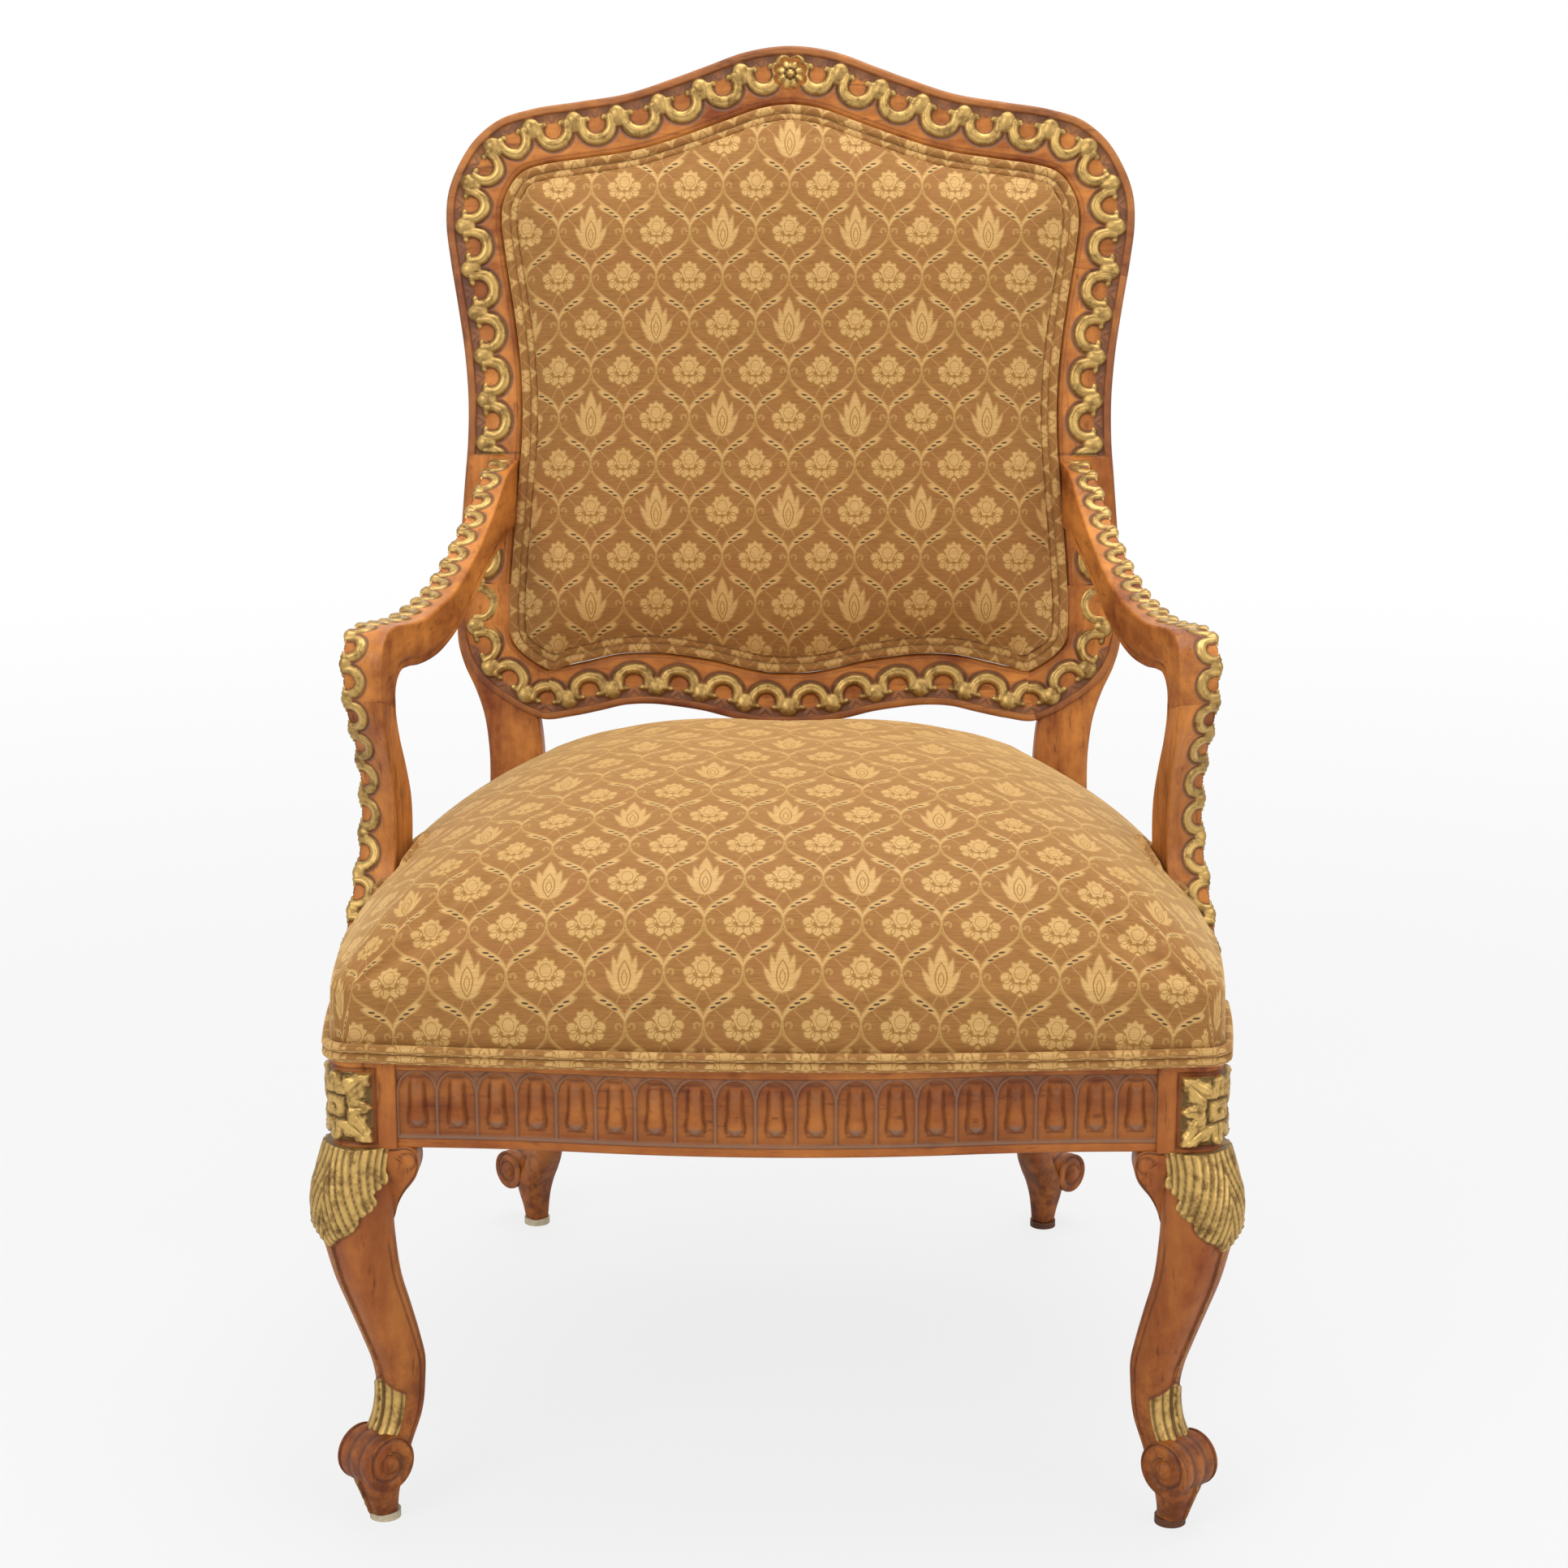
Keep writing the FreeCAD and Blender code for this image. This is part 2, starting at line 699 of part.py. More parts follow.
def arm_shape():
    tops = [(-s.back_thickness, s.arm_rear_top + 10)] + arm_tops()
    under = [(reach, height - arm_depth_at(reach)) for reach, height in tops[:-2]]
    front, back = support_lines()
    knuckle_front = front[-1]
    knuckle_back = back[-1]
    knuckle_top = tops[-1]
    bend = (knuckle_back[0] - 10, knuckle_back[1] + 10)
    nose = (knuckle_front[0] - 5, knuckle_top[1] - 8)
    edges = [
        through([arm_point(*point) for point in tops]),
        arc(arm_point(*knuckle_top), arm_point(*nose), arm_point(knuckle_front[0] + 2, knuckle_top[1] - 26)),
        Part.makeLine(arm_point(knuckle_front[0] + 2, knuckle_top[1] - 26), arm_point(*knuckle_front)),
        Part.makeLine(arm_point(*knuckle_front), arm_point(*knuckle_back)),
        Part.makeLine(arm_point(*knuckle_back), arm_point(*bend)),
        through([arm_point(*bend)] + [arm_point(*point) for point in reversed(under)]),
        Part.makeLine(arm_point(*under[0]), arm_point(*tops[0])),
    ]
    arm = in_arm_plane(Part.Wire(Part.__sortEdges__(edges)))
    behind = flat_box(0, tall, -tall / 2, tall / 2, -tall / 2, 0)
    return arm.cut(behind)


def support_shape():
    front, back = support_lines()
    edges = [
        through([arm_point(*point) for point in front]),
        Part.makeLine(arm_point(*front[-1]), arm_point(*back[-1])),
        through([arm_point(*point) for point in reversed(back)]),
        Part.makeLine(arm_point(*back[0]), arm_point(*front[0])),
    ]
    return in_arm_plane(Part.Wire(edges))


# Seat upholstery

# share of the crown's height above the rail, distance drawn in from the rail's line
crown_line = [
    (0.0, 0.0), (0.14, -s.cushion_bulge), (0.29, 0), (0.42, 16), (0.53, 33),
    (0.66, 58), (0.78, 96), (0.88, 138), (0.95, 176), (1.0, 208),
]


def cushion_wire(inset, height):
    """Plan of the seat at a height: bowed front and sides, straight rear, round corners."""
    round_front = s.corner_round + 0.33 * max(inset, 0)
    round_rear = 0.5 * s.corner_round + 0.28 * max(inset, 0)
    overhang = s.cushion_overhang
    half_front = s.corner_half_width + overhang - inset
    half_rear = s.post_outer - s.rail_setback + overhang - 0.8 * inset
    front_y = front_face - overhang + inset
    rear_y = post_back - s.rail_thickness / 2 - 0.75 * inset
    fade = max(0.25, 1 - inset / s.corner_half_width)
    nub = math.sqrt(0.5)
    start = Vector(half_front - round_front, front_y, height)
    corner = Vector(half_front - round_front * (1 - nub), front_y + round_front * (1 - nub), height)
    side_front = Vector(half_front, front_y + round_front, height)
    side_rear = Vector(half_rear, rear_y - round_rear, height)
    side_middle = (side_front + side_rear) / 2 + Vector(s.side_bow * fade, 0, 0)
    rear_corner = Vector(half_rear - round_rear * (1 - nub), rear_y - round_rear * (1 - nub), height)
    rear_start = Vector(half_rear - round_rear, rear_y, height)

    def flip(point):
        return Vector(-point.x, point.y, point.z)

    front_middle = Vector(0, front_y - s.front_bow * fade, height)
    edges = [
        arc(flip(start), front_middle, start),
        arc(start, corner, side_front),
        arc(side_front, side_middle, side_rear),
        arc(side_rear, rear_corner, rear_start),
        Part.makeLine(rear_start, flip(rear_start)),
        arc(flip(rear_start), flip(rear_corner), flip(side_rear)),
        arc(flip(side_rear), flip(side_middle), flip(side_front)),
        arc(flip(side_front), flip(corner), flip(start)),
    ]
    return Part.Wire(edges)


def bulge_at(height):
    """How far the seat's side stands out over its foot, below its widest level."""
    return s.cushion_bulge * (height - rail_top) / (crown_line[1][0] * (s.cushion_crown - rail_top))


def cushion_wires(inset, low):
    """Plans of the crowned seat, drawn in all over by a distance, from a level up to the crown."""
    rise = s.cushion_crown - rail_top - inset
    wires = [cushion_wire(inset + draw, rail_top + share * rise) for share, draw in crown_line]
    if low > rail_top:
        wires[0] = cushion_wire(inset - bulge_at(low), low)
    return wires


def domed(wires):
    """Closed solid through a stack of plans."""
    return Part.makeLoft(wires, True, True)


def open_faces(wires):
    """Faces of a stack of plans without the lowest one."""
    floor = wires[0].BoundBox.ZMax
    return [face for face in domed(wires).Faces if face.BoundBox.ZMax > floor + 1e-6]


def hollow_dome(outer, inner):
    """Skin between two stacks of plans, open below."""
    shell = Part.makeShell(open_faces(outer) + open_faces(inner) + [ring_face(outer[0], inner[0])])
    shell.sewShape()
    skin = Part.makeSolid(shell)
    if skin.Volume < 0:
        skin.reverse()
    return skin


def seat_cuts(gap):
    """Room for the rear posts and the arm supports in the seat."""
    post = Part.makeBox(
        s.post_width + 2 * gap + s.side_bow, s.post_thickness + gap, tall,
        Vector(post_inner - gap, s.post_front - gap, rail_top - 1),
    )
    front, back = support_lines()
    fronts = [(reach + gap, height) for reach, height in front]
    backs = [(reach - gap, height) for reach, height in back]
    edges = [
        through([arm_point(*point) for point in fronts]),
        Part.makeLine(arm_point(*fronts[-1]), arm_point(*backs[-1])),
        through([arm_point(*point) for point in reversed(backs)]),
        Part.makeLine(arm_point(*backs[0]), arm_point(*fronts[0])),
    ]
    pocket = Part.Face(Part.Wire(edges)).extrude(arm_out * (3 * s.arm_front_width))
    pocket.translate(arm_out * -gap)
    return both_sides(post) + both_sides(pocket)


def on_rails(shape, gap):
    return shape.cut(seat_cuts(gap))


def web_strips(lengthwise):
    """Webbing strips over the rails, lengthwise ones below."""
    strips = []
    reach = post_back - front_face
    for index in (-2, -1, 0, 1, 2):
        place = index * s.web_pitch
        if lengthwise:
            low = Vector(place - s.web_width / 2, front_face + 14, rail_top)
            box = Part.makeBox(s.web_width, reach - s.rail_thickness - 16, s.web_thickness, low)
        else:
            middle = (s.post_front - s.corner_front) / 2
            low = Vector(-tall, middle + place - s.web_width / 2 + 4, rail_top + s.web_thickness)
            box = Part.makeBox(2 * tall, s.web_width, s.web_thickness, low)
            low_limit = rail_top + s.web_thickness
            room = Part.Face(cushion_wire(12, low_limit)).extrude(Vector(0, 0, s.web_thickness))
            box = box.common(room)
        strips.append(box)
    return on_rails(Part.makeCompound(strips), s.soft_clearance)


def seat_welt_ring():
    """Two cords one above the other along the foot of the seat cover, with a groove between them."""
    inner = -bulge_at(rail_top + 4 * s.welt_radius) - s.soft_clearance
    proud = inner - s.welt_radius
    groove = inner - 0.35 * s.welt_radius
    levels = [0, 0.35, 1.65, 2, 2.35, 3.65, 4]
    offsets = [groove, proud, proud, groove, proud, proud, groove]
    wires = [cushion_wire(offset, rail_top + level * s.welt_radius) for level, offset in zip(levels, offsets)]
    outer = Part.makeLoft(wires, True, True)
    return outer.cut(Part.Face(cushion_wire(inner, rail_top)).extrude(Vector(0, 0, 4 * s.welt_radius)))


# Build the wooden frame

leg_blank = front_leg_shape()
front_rail_blank = front_rail_shape()
side_rail_blank = side_rail_shape()
post_blank = rear_post_shape()
crest_blank = crest_rail_shape()
lower_rail_blank = lower_back_rail_shape()
arm_blank = arm_shape()
support_blank = support_shape()
rear_rail_front = post_back - s.rail_thickness - s.rail_setback


def seat_dowels():
    """Two dowels, one above the other, in each joint of the right half of the seat frame."""
    heights = [s.rail_bottom + s.rail_depth * share for share in (0.28, 0.72)]
    front_line = front_face + s.rail_setback + s.rail_thickness / 2
    front_side, _, rear_side = side_rail_arc(s.rail_thickness / 2, 0)
    rear_line = rear_rail_front + s.rail_thickness / 2
    centres = [
        (Vector(block_inner, front_line, 0), Vector(1, 0, 0)),
        (Vector(front_side.x + 3, block_back, 0), Vector(0, 1, 0)),
        (Vector(rear_side.x + 2, s.post_front, 0), Vector(0, 1, 0)),
        (Vector(post_inner, rear_line, 0), Vector(1, 0, 0)),
    ]
    ends = []
    for index, (centre, direction) in enumerate(centres):
        for order, height in enumerate(heights):
            lift = Vector(0, 0, height + (-6 if index in (1, 3) else 6) * (0.5 if order else 1))
            half = s.dowel_half * (0.75 if index in (2, 3) else 0.85)
            ends.append((centre + lift - direction * half, centre + lift + direction * half))
    return ends


def back_dowels():
    """Dowels of the right half of the back frame: up into the crest and across into the lower rail."""
    level = -0.5 * s.back_thickness
    joint_x = s.shoulder_half - 0.5 * s.side_band
    half = 0.8 * s.dowel_half
    ends = []
    for shift in (-9, 7):
        low = Vector(joint_x + shift, s.crest_joint - half, level)
        ends.append((low, low + Vector(0, 2 * half, 0)))
    middle = 0.5 * (s.lower_band - 2 * s.lower_edge)
    for shift in (-9, 8):
        height = middle + shift
        ends.append((Vector(post_inner - half, height, level), Vector(post_inner + half, height, level)))
    return [(back_place.multVec(start), back_place.multVec(end)) for start, end in ends]


def holes(ends, radius):
    """Holes that take dowels, a little wider and deeper than they are."""
    cuts = []
    for start, end in ends:
        run = (end - start).normalize() * (2 * s.fit_clearance)
        cuts.append(rod(radius + s.fit_clearance, start - run, end + run))
    return cuts


seat_dowel_ends = seat_dowels()
back_dowel_ends = back_dowels()
seat_holes = holes(seat_dowel_ends, s.dowel_radius)
back_holes = holes(back_dowel_ends, s.dowel_radius)


def screw(start, direction, length):
    """Countersunk wood screw, its head at the start."""
    head_height = s.screw_head_radius - s.screw_radius
    head = Part.makeCone(s.screw_head_radius, s.screw_radius, head_height, start, direction)
    shank = rod(s.screw_radius, start, start + direction * length)
    return head.fuse(shank).removeSplitter()


def screw_hole(start, direction, length):
    gap = s.fit_clearance
    run = direction * gap
    head_height = s.screw_head_radius - s.screw_radius
    head = Part.makeCone(s.screw_head_radius + gap, s.screw_radius + gap, head_height, start, direction)
    mouth = rod(s.screw_head_radius + gap, start - direction * s.rail_depth, start)
    return head.fuse([rod(s.screw_radius + gap, start, start + direction * length + run), mouth])


# Arm screw from behind through the stile, support screw up through the side rail
arm_seat_height = s.arm_rear_top - 0.5 * s.arm_rear_depth
arm_seat_v = (arm_seat_height - s.back_base_height) / math.cos(lean)
arm_screw_x = s.arm_rear_inner + 0.5 * s.arm_rear_width
arm_screw_start = back_place.multVec(Vector(arm_screw_x, arm_seat_v, 2 - s.back_thickness))
arm_screw_run = back_place.Rotation.multVec(Vector(0, 0, 1))
support_front, support_back = support_lines()
support_middle = 0.5 * (support_front[0][0] + support_back[0][0])
support_foot = arm_point(support_middle, 0) + arm_out * (0.4 * s.arm_front_width)
support_screw_start = Vector(support_foot.x, support_foot.y, s.rail_bottom + 2)
upward = Vector(0, 0, 1)
support_screw_length = s.rail_depth + 32
arm_screw_hole = screw_hole(arm_screw_start, arm_screw_run, s.arm_screw_length)
support_screw_hole = screw_hole(support_screw_start, upward, support_screw_length)

# Dowel that joins the support to the arm's knuckle
knuckle_middle = 0.5 * (support_front[-1][0] + support_back[-1][0])
knuckle_foot = arm_point(knuckle_middle, s.arm_joint_height) + arm_out * (0.5 * s.arm_front_width)
knuckle_ends = [(knuckle_foot - upward * s.dowel_half * 0.8, knuckle_foot + upward * s.dowel_half * 0.8)]
knuckle_holes = holes(knuckle_ends, s.dowel_radius)


# Glue blocks: right-angled blocks in the corners of the seat frame, fitted to the rails

def glue_block_shape(front):
    side = s.block_side
    low = s.rail_bottom + 0.5 * (s.rail_depth - s.block_depth)
    if front:
        corner = Vector(s.corner_half_width, front_face, low)
        inner_y = front_face + s.rail_setback + s.rail_thickness
        points = [
            corner,
            Vector(block_inner - side, front_face, low),
            Vector(block_inner - side + 12, inner_y + 18, low),
            Vector(block_inner - 22, block_back + side - 12, low),
            Vector(s.corner_half_width, block_back + side, low),
        ]
    else:
        points = [
            Vector(s.post_outer, post_back, low),
            Vector(s.post_outer, s.post_front - side, low),
            Vector(post_inner - 6, s.post_front - side + 10, low),
            Vector(post_inner - side + 12, rear_rail_front - 18, low),
            Vector(post_inner - side, post_back, low),
        ]
    block = polygon_face(points).extrude(Vector(0, 0, s.block_depth))
    outside = side_rail_blank.fuse(Part.makeBox(tall, tall, tall, Vector(s.corner_half_width, -tall / 2, 0)))
    if front:
        rail_back = front_face + s.rail_setback + s.rail_thickness
        ahead = Part.makeBox(2 * tall, tall, tall, Vector(-tall, rail_back - tall, 0))
        block = block.cut([outside, ahead, corner_block_shape()])
    else:
        behind = Part.makeBox(2 * tall, tall, tall, Vector(-tall, rear_rail_front, 0))
        post = Part.makeBox(tall, tall, tall, Vector(post_inner, s.post_front, 0))
        block = block.cut([outside, behind, post])
    inside = max(block.Solids, key=lambda piece: -piece.CenterOfMass.x)
    return inside


front_block_blank = glue_block_shape(True)
rear_block_blank = glue_block_shape(False)
block_level = s.rail_bottom + 0.5 * s.rail_depth


def block_screw_places():
    """Each block has one screw into the front or rear rail and one into the side rail."""
    front_y = front_face + s.rail_setback + s.rail_thickness
    side_front = side_rail_arc(s.rail_thickness, 0)
    reach = 0.5 * s.block_side
    length = s.block_screw_length
    side_length = length + 6
    front_side_x = side_front[0].x - 22
    rear_side_x = side_front[2].x - 20
    front_x = block_inner - 0.72 * s.block_side
    rear_x = post_inner - 0.72 * s.block_side
    places = [
        (Vector(front_x, front_y + 14, block_level - 8), Vector(0, -1, 0), length),
        (Vector(front_side_x, block_back + 1.25 * reach, block_level + 8), Vector(1, 0, 0), side_length),
        (Vector(rear_x, rear_rail_front - 14, block_level - 8), Vector(0, 1, 0), length),
        (Vector(rear_side_x, s.post_front - 1.25 * reach, block_level + 8), Vector(1, 0, 0), side_length),
    ]
    return places


block_screws = block_screw_places()
block_holes = [screw_hole(*place) for place in block_screws]

front_leg_right = feature("front_leg_right", leg_blank.cut(seat_holes))
front_leg_left = mirrored("front_leg_left", front_leg_right)
rear_post_right = feature("rear_post_right", post_blank.cut(seat_holes + back_holes + [arm_screw_hole]))
rear_post_left = mirrored("rear_post_left", rear_post_right)

front_holes = []
for cut in seat_holes + block_holes:
    front_holes += both_sides(cut)
feature("front_seat_rail", front_rail_blank.cut(front_holes))

side_seat_rail_right = feature(
    "side_seat_rail_right",
    side_rail_blank.cut(seat_holes + block_holes + [support_screw_hole]),
)
mirrored("side_seat_rail_left", side_seat_rail_right)

rear_rail_box = bound(
    "Part::Box", "rear_rail_board",
    Length="2 * (sizes.post_outer - sizes.post_width)",
    Width="sizes.rail_thickness",
    Height="sizes.rail_depth",
    place_x="-(sizes.post_outer - sizes.post_width)",
    place_y="sizes.post_front + sizes.post_thickness - sizes.rail_thickness - sizes.rail_setback",
    place_z="sizes.rail_bottom",
)
rear_rail_drilling = document.addObject("Part::Feature", "rear_rail_drilling")
rear_rail_drilling.Shape = Part.makeCompound(front_holes)
rear_rail = document.addObject("Part::Cut", "rear_rail")
rear_rail.Base = rear_rail_box
rear_rail.Tool = rear_rail_drilling
keep(rear_rail, "rear_seat_rail")

back_holes_both = []
for cut in back_holes:
    back_holes_both += both_sides(cut)
feature("crest_rail", crest_blank.cut(back_holes_both))
feature("lower_back_rail", lower_rail_blank.cut(back_holes_both))

arm_right = feature("arm_right", arm_blank.cut(knuckle_holes + [arm_screw_hole]))
mirrored("arm_left", arm_right)
support_right = feature("arm_support_right", support_blank.cut(knuckle_holes + [support_screw_hole]))
mirrored("arm_support_left", support_right)

front_block_right = feature("front_glue_block_right", front_block_blank.cut(block_holes))
mirrored("front_glue_block_left", front_block_right)
rear_block_right = feature("rear_glue_block_right", rear_block_blank.cut(block_holes))
mirrored("rear_glue_block_left", rear_block_right)

front_ear = ear_shape(leg_blank)
ear_front_right = feature("knee_ear_front_right", front_ear)
mirrored("knee_ear_front_left", ear_front_right)
ear_side_right = feature("knee_ear_side_right", side_ear_shape(front_ear))
mirrored("knee_ear_side_left", ear_side_right)

# Glides with their nails, bound to the sheet

corner_x = "(sizes.corner_half_width - sizes.corner_side / 2)"
corner_y = "(sizes.corner_side / 2 - sizes.corner_front)"
foot_shift = "sizes.foot_throw * sqrt(0.5)"
foot_places = {
    "front_right": (f"{corner_x} - {foot_shift}", f"{corner_y} + {foot_shift}"),
    "front_left": (f"-({corner_x} - {foot_shift})", f"{corner_y} + {foot_shift}"),
    "rear_right": ("sizes.rear_foot_half", "sizes.rear_foot_back"),
    "rear_left": ("-sizes.rear_foot_half", "sizes.rear_foot_back"),
}
nails = []
for foot_name, (foot_x, foot_y) in foot_places.items():
    disc = bound(
        "Part::Cylinder", f"glide_disc_{foot_name}",
        Radius="sizes.glide_radius", Height="sizes.glide_height", place_x=foot_x, place_y=foot_y,
    )
    bore = bound(
        "Part::Cylinder", f"glide_bore_{foot_name}",
        Radius="sizes.nail_radius + sizes.fit_clearance", Height="sizes.glide_height",
        place_x=foot_x, place_y=foot_y, place_z="sizes.glide_height / 3",
    )
    glide = document.addObject("Part::Cut", f"glide_body_{foot_name}")
    glide.Base = disc
    glide.Tool = bore
    keep(glide, f"glide_{foot_name}")
    nail = bound(
        "Part::Cylinder", f"glide_nail_{foot_name}",
        Radius="sizes.nail_radius", Height="sizes.nail_length",
        place_x=foot_x, place_y=foot_y, place_z="sizes.glide_height / 3 + sizes.fit_clearance",
    )
    nails.append(nail)
group("glide_nails", nails)
document.recompute()
nail_room = []
for nail in nails:
    centre = nail.Placement.Base
    top = centre + upward * (s.nail_length + s.fit_clearance)
    nail_room.append(rod(s.nail_radius + s.fit_clearance, Vector(centre.x, centre.y, 0), top))
front_leg_right.Shape = front_leg_right.Shape.cut(nail_room)
rear_post_right.Shape = rear_post_right.Shape.cut(nail_room)

# Fasteners

seat_dowel_rods = []
for start, end in seat_dowel_ends:
    seat_dowel_rods += both_sides(rod(s.dowel_radius, start, end))
feature("seat_frame_dowels", Part.makeCompound(seat_dowel_rods))
back_dowel_rods = []
for start, end in back_dowel_ends + knuckle_ends:
    back_dowel_rods += both_sides(rod(s.dowel_radius, start, end))
feature("back_and_arm_dowels", Part.makeCompound(back_dowel_rods))
arm_screw = screw(arm_screw_start, arm_screw_run, s.arm_screw_length)
feature("arm_screws", Part.makeCompound(both_sides(arm_screw)))
feature(
    "arm_support_screws",
    Part.makeCompound(both_sides(screw(support_screw_start, upward, support_screw_length))),
)
block_screw_solids = []
for place in block_screws:
    block_screw_solids += both_sides(screw(*place))
feature("glue_block_screws", Part.makeCompound(block_screw_solids))

# Seat upholstery

hessian_bottom = rail_top + 2 * s.web_thickness
foam_bottom = hessian_bottom + s.hessian_thickness
feature("seat_webbing_lengthwise", web_strips(True))
feature("seat_webbing_crosswise", web_strips(False))
hessian = Part.Face(cushion_wire(10, hessian_bottom)).extrude(Vector(0, 0, s.hessian_thickness))
feature("seat_hessian", on_rails(hessian, 1))
cover_gap = s.cover_thickness + s.soft_clearance
foam_inset = cover_gap + s.wadding_thickness + s.soft_clearance
foam = domed(cushion_wires(foam_inset, foam_bottom))
feature("seat_foam", on_rails(foam, s.wadding_thickness))
wadding_inset = foam_inset - s.soft_clearance
wadding = hollow_dome(cushion_wires(cover_gap, foam_bottom), cushion_wires(wadding_inset, foam_bottom))
feature("seat_wadding", on_rails(wadding, cover_gap + 1))
cover = hollow_dome(cushion_wires(0, rail_top), cushion_wires(s.cover_thickness, rail_top))
feature("seat_cover", on_rails(cover, s.soft_clearance))
feature("seat_welt", on_rails(seat_welt_ring(), s.soft_clearance))

# Dust cover under the seat, clear of the legs

dust_low = s.rail_bottom - s.dust_cover_thickness
dust = Part.Face(cushion_wire(s.dust_cover_margin, dust_low)).extrude(Vector(0, 0, s.dust_cover_thickness))
knee_room = s.corner_side + s.knee_throw + 12
leg_room = Part.makeBox(
    knee_room + s.ear_reach, knee_room + s.ear_reach, s.rail_depth,
    Vector(s.corner_half_width - knee_room + 4, front_face - s.ear_reach, s.rail_bottom - s.rail_depth),
)
rear_room = Part.makeBox(
    s.post_width + 60, s.post_thickness + 20, s.rail_depth,
    Vector(post_inner - 8, s.post_front - 8, s.rail_bottom - s.rail_depth),
)
side_ear_box = ear_side_right.Shape.BoundBox
front_ear_box = ear_front_right.Shape.BoundBox
ear_rooms = []
for ear_box in (side_ear_box, front_ear_box):
    low = Vector(ear_box.XMin - 1, ear_box.YMin - 1, s.rail_bottom - s.rail_depth)
    ear_rooms.append(Part.makeBox(ear_box.XLength + 2, ear_box.YLength + 2, s.rail_depth, low))
tack_places = []
front_tack_y = front_face + s.rail_setback + 0.7 * s.rail_thickness
rear_tack_y = rear_rail_front + 0.35 * s.rail_thickness
for index in (-2, -1, 0, 1, 2):
    tack_places.append(Vector(index * 95, front_tack_y, dust_low))
    tack_places.append(Vector(index * 80, rear_tack_y, dust_low))
side_path = arc(*side_rail_arc(0.68 * s.rail_thickness, dust_low))
for share in (0.3, 0.5, 0.72, 0.88):
    parameter = side_path.FirstParameter + share * (side_path.LastParameter - side_path.FirstParameter)
    point = side_path.valueAt(parameter)
    tack_places += [point, Vector(-point.x, point.y, point.z)]


def tack(place, gap):
    head_height = 1.2
    head = Part.makeCylinder(s.tack_head_radius, head_height, place - upward * head_height)
    return head.fuse(rod(s.tack_radius + gap, place, place + upward * (s.tack_length + gap)))


tack_rooms = [tack(place, s.fit_clearance) for place in tack_places]
rooms = both_sides(leg_room) + both_sides(rear_room)
for room in ear_rooms:
    rooms += both_sides(room)
feature("dust_cover", dust.cut(rooms + tack_rooms))
feature("dust_cover_tacks", Part.makeCompound([tack(place, 0).removeSplitter() for place in tack_places]))
tacked_rails = [obj for obj in node_objects if obj.Label in ("front_seat_rail", "side_seat_rail_right")]
for rail in tacked_rails:
    rail.Shape = rail.Shape.cut(tack_rooms)
rear_rail_drilling.Shape = Part.makeCompound(front_holes + tack_rooms)

# Back upholstery, drawn flat and moved into the leaning back

web_floor = -s.front_rebate
web_middle = web_floor + s.web_thickness
hessian_floor = web_middle + s.web_thickness
pad_floor = hessian_floor + s.hessian_thickness


def back_webs():
    strips = []
    room = opening_slab(2, web_floor, web_middle)
    room_above = opening_slab(2, web_middle, hessian_floor)
    for index in (-1.5, -0.5, 0.5, 1.5):
        low = Vector(index * 1.15 * s.web_pitch - s.web_width / 2, -tall, web_floor)
        strips.append(Part.makeBox(s.web_width, 2 * tall, s.web_thickness, low).common(room))
    middle = 0.5 * (s.crest_height - s.top_band + s.lower_band)
    for index in (-1.5, -0.5, 0.5, 1.5):
        low = Vector(-tall, middle + index * 1.15 * s.web_pitch - s.web_width / 2, web_middle)
        strips.append(Part.makeBox(2 * tall, s.web_width, s.web_thickness, low).common(room_above))
    return Part.makeCompound(strips)


# distance drawn in from the welt, share of the crown
back_crown_line = [(0.0, 0.0), (1.5, 0.3), (14, 0.58), (40, 0.82), (80, 1.0)]


def back_pad_wires(shrink, low):
    """Outlines of the crowned pad inside the welt, smaller all over by a distance."""
    rim = s.back_welt_width + s.soft_clearance
    height = s.back_crown - shrink
    return [pad_wire(rim, low, shrink)] + [
        pad_wire(rim, share * height, shrink + draw) for draw, share in back_crown_line[1:]
    ]


feature("back_webbing", on_back(back_webs()))
feature("back_hessian", on_back(opening_slab(1.5, hessian_floor, pad_floor)))
feature("back_stuffing", on_back(domed(back_pad_wires(s.cover_thickness + s.soft_clearance, pad_floor))))
back_skin = hollow_dome(back_pad_wires(0, pad_floor), back_pad_wires(s.cover_thickness, pad_floor))
feature("back_cover_inside", on_back(back_skin))
back_welt = opening_ring(s.soft_clearance, s.back_welt_width, pad_floor, s.back_welt_height)
feature("back_welt_inside", on_back(back_welt))
outer_floor = -s.back_thickness
outer_cover_low = outer_floor + s.rear_rebate - s.outer_cover_thickness
outer_cover = opening_slab(s.soft_clearance, outer_cover_low, outer_floor + s.rear_rebate)
feature("back_cover_outside", on_back(outer_cover))
outer_welt_top = outer_floor - s.outer_welt_height
outer_welt = opening_ring(s.soft_clearance, 0.6 * s.back_welt_width, outer_welt_top, outer_cover_low)
feature("back_welt_outside", on_back(outer_welt))

# Check every object, then write each sub-part

document.recompute()
failed = [obj.Name for obj in document.Objects if {"Invalid", "Error"} & set(obj.State)]
if failed:
    raise RuntimeError(f"objects that did not build: {failed}")
for obj in node_objects:
    if obj.Shape.isNull() or not obj.Shape.isValid() or not obj.Shape.Solids:
        raise RuntimeError(f"{obj.Label} has no valid solid")

os.makedirs("parts", exist_ok=True)
for obj in node_objects:
    obj.Shape.exportStep(f"parts/{obj.Label}.step")
print(f"{len(node_objects)} nodes written")
